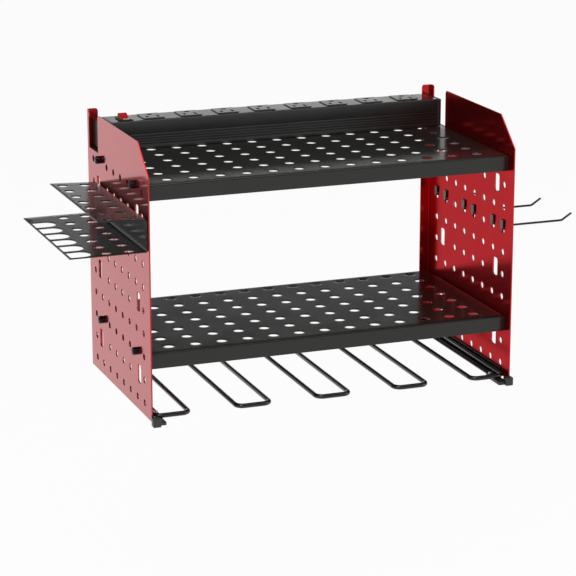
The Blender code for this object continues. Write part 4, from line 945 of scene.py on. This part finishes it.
# %% Sizes of the strip
base_low, base_high = np.array(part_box("strip_base"))
STRIP_FRONT, STRIP_REAR, STRIP_TOP = cover_low[1], cover_high[1], cover_high[2]
STRIP_MIDDLE = (STRIP_FRONT + STRIP_REAR) / 2
STRIP_WALL, SHOULDER, CLEAR = 0.0010, 0.0012, 0.0003
RIBS, RIB_PITCH, RIB_MARGIN = 4, 0.0029, 0.0026
GROOVE, GROOVE_DEPTH, GROOVE_SLOPE, BASE_FLOOR = 0.0011, 0.0008, 0.12, 0.0023
FACES = np.array([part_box("outlet_face_%d" % number) for number in range(1, 9)])
FACE_CENTRES = FACES[:, :, :2].mean(axis=1)
FACE_HALF, FACE_CORNER = (FACES[0, 1, :2] - FACES[0, 0, :2]) / 2, 0.0015
NECK_HALF, NECK_CORNER = np.array([0.0069, 0.0119]), 0.0008
print("outlets every", round(float(np.diff(FACE_CENTRES[:, 0]).mean()) * 1000, 2), "mm")

# %% The cover, folded from its pattern
flat_low, flat_high = STRIP_FRONT + SHOULDER, STRIP_REAR - SHOULDER
over = np.linspace(flat_low, flat_high, 13)
seams = (FACE_CENTRES[1:, 0] + FACE_CENTRES[:-1, 0]) / 2
switch_seam = (bezel_high[0] + FACES[0, 0, 0]) / 2
cover_lines = lines([cover_low[0], switch_seam, *seams, cover_high[0]], 12)
cover = [cell(cover_lines[0], over, (SWITCH_X, SWITCH_Y), NECK_HALF + CLEAR, NECK_CORNER)]
cover += [cell(xs, over, centre, FACE_HALF + CLEAR, FACE_CORNER + CLEAR)
          for xs, centre in zip(cover_lines[1:], FACE_CENTRES)]
cover = laid(cover, flat_at(STRIP_TOP))
shoulder = SHOULDER * math.pi / 2
skirt_end = shoulder + STRIP_TOP - cover_low[2] - SHOULDER
round_part = np.linspace(0, shoulder, BEND_STEPS + 1)
out, drop = folded(np.append(round_part, skirt_end), SHOULDER)
whole = joined(*cover_lines)[:, None]
front_skirt = grid(whole, flat_low - out, STRIP_TOP - drop)
rear_skirt = grid(whole, flat_high + out, STRIP_TOP - drop)
cover += [(front_skirt[:, ::-1], 0.0, False), (rear_skirt, 0.0, False)]
piece("strip_shell", cover, "strip_plastic", ["strip_cover"],
      thickness=STRIP_WALL, soften=MOULDED_EDGE)

# %% The ribbed base
bottom, top, floor = base_low[2], base_high[2], base_low[2] + BASE_FLOOR
first_groove = top - RIB_MARGIN - (RIBS - 1) * RIB_PITCH - GROOVE
starts = first_groove + np.arange(RIBS)[:, None] * RIB_PITCH
inward = GROOVE_DEPTH * np.array([0, 1, 1, 0])
upward = GROOVE * np.array([0, GROOVE_SLOPE, 1 - GROOVE_SLOPE, 1])
grooves = grid(STRIP_FRONT + inward, starts + upward).reshape(-1, 2)
inner_front, inner_rear = STRIP_FRONT + STRIP_WALL, STRIP_REAR - STRIP_WALL
section = np.concatenate([
    [(STRIP_FRONT, bottom)], grooves,
    [(STRIP_FRONT, top), (inner_front, top), (inner_front, floor), (inner_rear, floor),
     (inner_rear, top), (STRIP_REAR, top), (STRIP_REAR, bottom)],
])
tray = grid(np.array([base_high[0], base_low[0]])[:, None], *section.T)
piece("strip_tray", [(tray, 0.0, True)], "strip_plastic", ["strip_base"],
      soften=MOULDED_EDGE, capped=True)

# %% The end caps and the cord inlet
cap_low, cap_high = np.array(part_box("strip_right_cap"))
inlet_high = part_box("cord_inlet")[1]
INLET_RISE, INLET_HOLE, CAP_EDGE = 0.013, 0.0061, 0.0011
FLANGE_RADIUS, FLANGE_SHEET, FLANGE_EDGE = 0.0072, 0.0012, 0.0006
BUSH_RADIUS, BUSH_DEPTH, CORD_BORE = 0.0058, 0.0045, 0.0038
cap_ys, cap_zs = np.linspace(cap_low[1:], cap_high[1:], 13).T
inlet = (STRIP_MIDDLE, cap_low[2] + INLET_RISE)
inlet_hole = round_hole(inlet, INLET_HOLE)
for side, hole in (("right", inlet_hole), ("left", ())):
    face = laid([cell(cap_ys, cap_zs, *hole)], lambda y, z: (cap_high[0], y, z))
    piece("strip_%s_end" % side, face if side == "right" else mirrored(face), "strip_plastic",
          ["strip_%s_cap" % side], thickness=cap_high[0] - cap_low[0], soften=CAP_EDGE, segments=4)

bushing = spun([
    (CORD_BORE, -BUSH_DEPTH), (BUSH_RADIUS, -BUSH_DEPTH), (BUSH_RADIUS, 0), (FLANGE_RADIUS, 0),
    (FLANGE_RADIUS, FLANGE_SHEET / 2), (FLANGE_RADIUS - FLANGE_EDGE, FLANGE_SHEET),
    (CORD_BORE + FLANGE_EDGE, FLANGE_SHEET), (CORD_BORE, FLANGE_SHEET / 2),
    (CORD_BORE, -BUSH_DEPTH)])
seat = (inlet_high[0] - FLANGE_SHEET, *inlet)
piece("inlet_bush", [(bushing + seat, 0.0, True)], "strip_plastic", ["cord_inlet"])

# %% [markdown]
# ## The outlets
#
# Each outlet is a plate that stands a millimetre proud of the cover. Its ground hole lies
# towards the wall and its two blade slots side by side in front of it, the neutral one longer.
# Three cells hold the openings, and a border spreads from their rectangle to the plate's
# rounded outline. That border is a cell whose rim lies outside, so its rows run backwards.

# %% Eight outlet faces
BLADE_SPACING, BLADE_OFFSET, BLADE_HALF_WIDTH, BLADE_CORNER = 0.0127, -0.0058, 0.0013, 0.0003
LIVE_HALF_LENGTH, NEUTRAL_HALF_LENGTH = 0.00325, 0.00425
GROUND_RADIUS, GROUND_OFFSET, GROUND_SEAM = 0.0029, 0.0061, 0.0008
BORDER, FACE_SHEET, FACE_EDGE = 0.0018, FACES[0, 1, 2] - FACES[0, 0, 2], 0.0003
BLADES = ((-BLADE_SPACING / 2, LIVE_HALF_LENGTH), (BLADE_SPACING / 2, NEUTRAL_HALF_LENGTH))
inner_x, inner_y = FACE_HALF - BORDER
for number, ((x, y), top) in enumerate(zip(FACE_CENTRES, FACES[:, 1, 2]), 1):
    halves = lines([x - inner_x, x, x + inner_x])
    bands = lines([y - inner_y, y + GROUND_SEAM, y + inner_y])
    cells = [cell(half, bands[0], (x + aside, y + BLADE_OFFSET),
                  (BLADE_HALF_WIDTH, half_length), BLADE_CORNER)
             for half, (aside, half_length) in zip(halves, BLADES)]
    ground_hole = round_hole((x, y + GROUND_OFFSET), GROUND_RADIUS)
    cells.append(cell(joined(*halves), bands[1], *ground_hole))
    border, wear, closed = cell(joined(*halves), joined(*bands), (x, y), FACE_HALF, FACE_CORNER)
    cells.append((border[::-1], wear[::-1], closed))
    piece("outlet_%d" % number, laid(cells, flat_at(top)), "strip_plastic",
          ["outlet_face_%d" % number], thickness=FACE_SHEET, soften=FACE_EDGE)

# %% [markdown]
# ## The rocker switch
#
# The bezel is a thin flange with a neck that goes down through the cover. Its rows start at
# the neck's foot, climb to the opening's rim and spread to the flange's outline. The rocker's
# side view is two shallow slopes that meet over the pivot, and it is carried along X between
# rounded ends. At rest its rear end stands up.

# %% Bezel
BEZEL_HALF, BEZEL_CORNER = (bezel_high[:2] - bezel_low[:2]) / 2, 0.0012
BEZEL_OPENING, OPENING_CORNER = (0.0055, 0.0109), 0.0006
BEZEL_WALL, NECK_DEPTH, BEZEL_EDGE = 0.001, 0.007, 0.0003
opening_rim = rim(12, 12, (SWITCH_X, SWITCH_Y), BEZEL_OPENING, OPENING_CORNER)
flange_rim = rim(12, 12, (SWITCH_X, SWITCH_Y), BEZEL_HALF, BEZEL_CORNER)
spread = np.array([0, 0, 0.3, 1])[:, None, None]
flat = opening_rim + (flange_rim - opening_rim) * spread
depth = np.array([NECK_DEPTH, 0, 0, 0])[:, None]
collar = grid(flat[..., 0], flat[..., 1], bezel_high[2] - depth)
piece("switch_bezel", [(collar, 0.0, True)], "strip_plastic", ["rocker_bezel"],
      thickness=BEZEL_WALL, soften=BEZEL_EDGE)

# %% Rocker
CROWN, DISH, DISH_POWER, KEY_SKIRT, TONGUE, KEY_EDGE = 0.006, 0.0012, 1.6, 0.0012, 0.0036, 0.0003
across = np.linspace(1, -1, 17)
dished = CROWN - DISH * (1 - np.abs(across) ** DISH_POWER)
under = np.linspace(0, math.pi, 13)
outline = np.concatenate([
    grid(across * ROCKER_HALF_DEPTH, dished), [(-ROCKER_HALF_DEPTH, KEY_SKIRT)],
    grid(-TONGUE * np.cos(under), -TONGUE * np.sin(under)), [(ROCKER_HALF_DEPTH, KEY_SKIRT)]])
END_START, END_SIZE = 0.91, 0.94
ends = np.array([1, 1, END_START, -END_START, -1, -1])[:, None] * ROCKER_HALF_WIDTH
grow = np.array([0.0, END_SIZE, 1.0, 1.0, END_SIZE, 0.0])[:, None]
sine, cosine = math.sin(ROCKER_TILT), math.cos(ROCKER_TILT)
turn = np.array([[1, 0, 0], [0, cosine, -sine], [0, sine, cosine]])
block = grid(ends, grow * outline[:, 0], grow * outline[:, 1]) @ turn.T
piece("rocker_key", [(block + (SWITCH_X, SWITCH_Y, PIVOT_Z), 0.0, True)], "switch_red",
      ["power_rocker"], "rocker", soften=KEY_EDGE)

# %% [markdown]
# ## The corner clips
#
# The moulded clips at the panels' feet are soft-edged blocks. A rounded block is the same
# formula as a rounded opening with one more dimension: a smaller box's corner points, each
# plus a radius along its direction. Its top and bottom are the globe's two poles spread flat,
# which leaves them open, so caps close them.


# %% Rounded blocks
def rounded_block(low, high, radius, rows=14, columns=28):
    """A box with rounded edges: a smaller box's corners, plus the radius times each direction."""
    low, high = np.asarray(low), np.asarray(high)
    latitude = np.linspace(-np.pi / 2, np.pi / 2, rows)[:, None]
    longitude = np.linspace(0, 2 * np.pi, columns, endpoint=False) + np.pi / columns
    directions = grid(np.cos(latitude) * np.cos(longitude),
                      np.cos(latitude) * np.sin(longitude), np.sin(latitude))
    toward = np.where(directions >= 0, 1, -1)
    points = (low + high) / 2 + toward * ((high - low) / 2 - radius) + directions * radius
    return points[::-1], 0.0, True


clip_low, clip_high = np.array(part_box("right_corner_clip"))
BLOCK_WIDTH, BLOCK_DEPTH, BLOCK_ROUND = 0.009, 0.0084, 0.0012
JAW_WIDTH, JAW_HEIGHT, JAW_ROUND, PANEL_GAP = 0.0105, 0.0037, 0.0006, 0.0003
left, front, bottom = clip_low
right, rear, top = clip_high
clip = [
    rounded_block((right - BLOCK_WIDTH, front, bottom), (right, front + BLOCK_DEPTH, top),
                  BLOCK_ROUND),
    rounded_block((left, front + BLOCK_DEPTH / 2, -PANEL_GAP - JAW_HEIGHT),
                  (left + JAW_WIDTH, rear, -PANEL_GAP), JAW_ROUND)]
for side, patches in (("right", clip), ("left", mirrored(clip))):
    piece(side + "_foot_clip", patches, "grey_clip", [side + "_corner_clip"], capped=True)

# %% [markdown]
# ## Studio
#
# The photograph has a white ground and broad soft light. The floor is white paper to the
# camera and in reflections, but keeps the light that falls on it. Above the horizon the world
# is as white, and it dims towards a dark ceiling, so that black enamel stays black from above
# while its flanks still show the paper. The camera stands where the photograph was taken,
# solved from the panels' peg holes.

# %% Floor
FLOOR_Z, FLOOR_HALF, PAPER_GLOW = -0.30, 9.0, 0.96
signs = ((-1, -1), (1, -1), (1, 1), (-1, 1))
floor_corners = [(x * FLOOR_HALF, y * FLOOR_HALF, FLOOR_Z) for x, y in signs]
floor_mesh = bpy.data.meshes.new("floor")
floor_mesh.from_pydata(floor_corners, [], [(0, 1, 2, 3)])
studio_floor = placed("studio_floor", floor_mesh)
paper = Finish("paper")
shader = Value(paper, paper.tree.nodes["Principled BSDF"].outputs[0])
seen = sum(paper.node("ShaderNodeLightPath", out="Is %s Ray" % ray)
           for ray in ("Camera", "Glossy", "Transmission"))
glow = paper.node("ShaderNodeEmission", {}, {"Color": (1, 1, 1), "Strength": 1.0})
blend = paper.node("ShaderNodeMixShader", {}, {0: seen * PAPER_GLOW, 1: shader, 2: glow})
paper.feed(paper.tree.nodes["Material Output"].inputs["Surface"], blend)
paper.done(Base_Color=(0.82, 0.82, 0.82), Roughness=0.9, Specular_IOR_Level=0.1)
floor_mesh.materials.append(paper.owner)
print("floor at", FLOOR_Z, "m")

# %% World
HORIZON, CEILING, CEILING_LEVEL = math.radians(11.5), math.radians(14), 0.06
world = bpy.data.worlds.new("studio")
bpy.context.scene.world = world
sky = Recipe(world)
background = world.node_tree.nodes["Background"]
height = sky.part(sky.node("ShaderNodeTexCoord", out="Generated"), "Z")
dim = sky.between(height, math.sin(HORIZON), math.sin(CEILING))
sky.feed(background.inputs["Color"], (1, 1, 1))
sky.feed(background.inputs["Strength"], 1 - dim * (1 - CEILING_LEVEL))
print("ceiling at", CEILING_LEVEL, "of the horizon's white")


# %% Lamps
def aimed(place, target):
    """Rotation that points an object's -Z at a target: yaw about Z, then pitch above level."""
    x, y, z = np.asarray(target, dtype=float) - place
    return math.pi / 2 + math.atan2(z, math.hypot(x, y)), 0, math.atan2(-x, y)


LIT_POINT = (0, -0.11, 0.15)
for name, place, size, power in (("key", (-1.1, -1.6, 1.7), 1.2, 29),
                                 ("fill", (1.7, -1.3, 0.7), 1.4, 12),
                                 ("top", (0.1, -0.3, 1.9), 1.6, 15)):
    light = bpy.data.lights.new(name, "AREA")
    light.size, light.energy = size, power
    lamp = placed(name, light)
    lamp.location, lamp.rotation_euler = place, aimed(place, LIT_POINT)
    print(name, "lamp", power, "W")

# %% Camera
LENS, SENSOR, PITCH_DOWN, YAW = 148.52, 36, 0.2702, -0.3604
eye = bpy.data.cameras.new("camera")
eye.sensor_width, eye.lens = SENSOR, LENS
camera = placed("camera", eye)
camera.location = (-0.911517, -2.497081, 0.80409)
camera.rotation_euler = (math.pi / 2 - PITCH_DOWN, 0, YAW)
bpy.context.scene.camera = camera
bpy.context.scene.view_settings.view_transform = "Standard"
print("camera", tuple(camera.location))
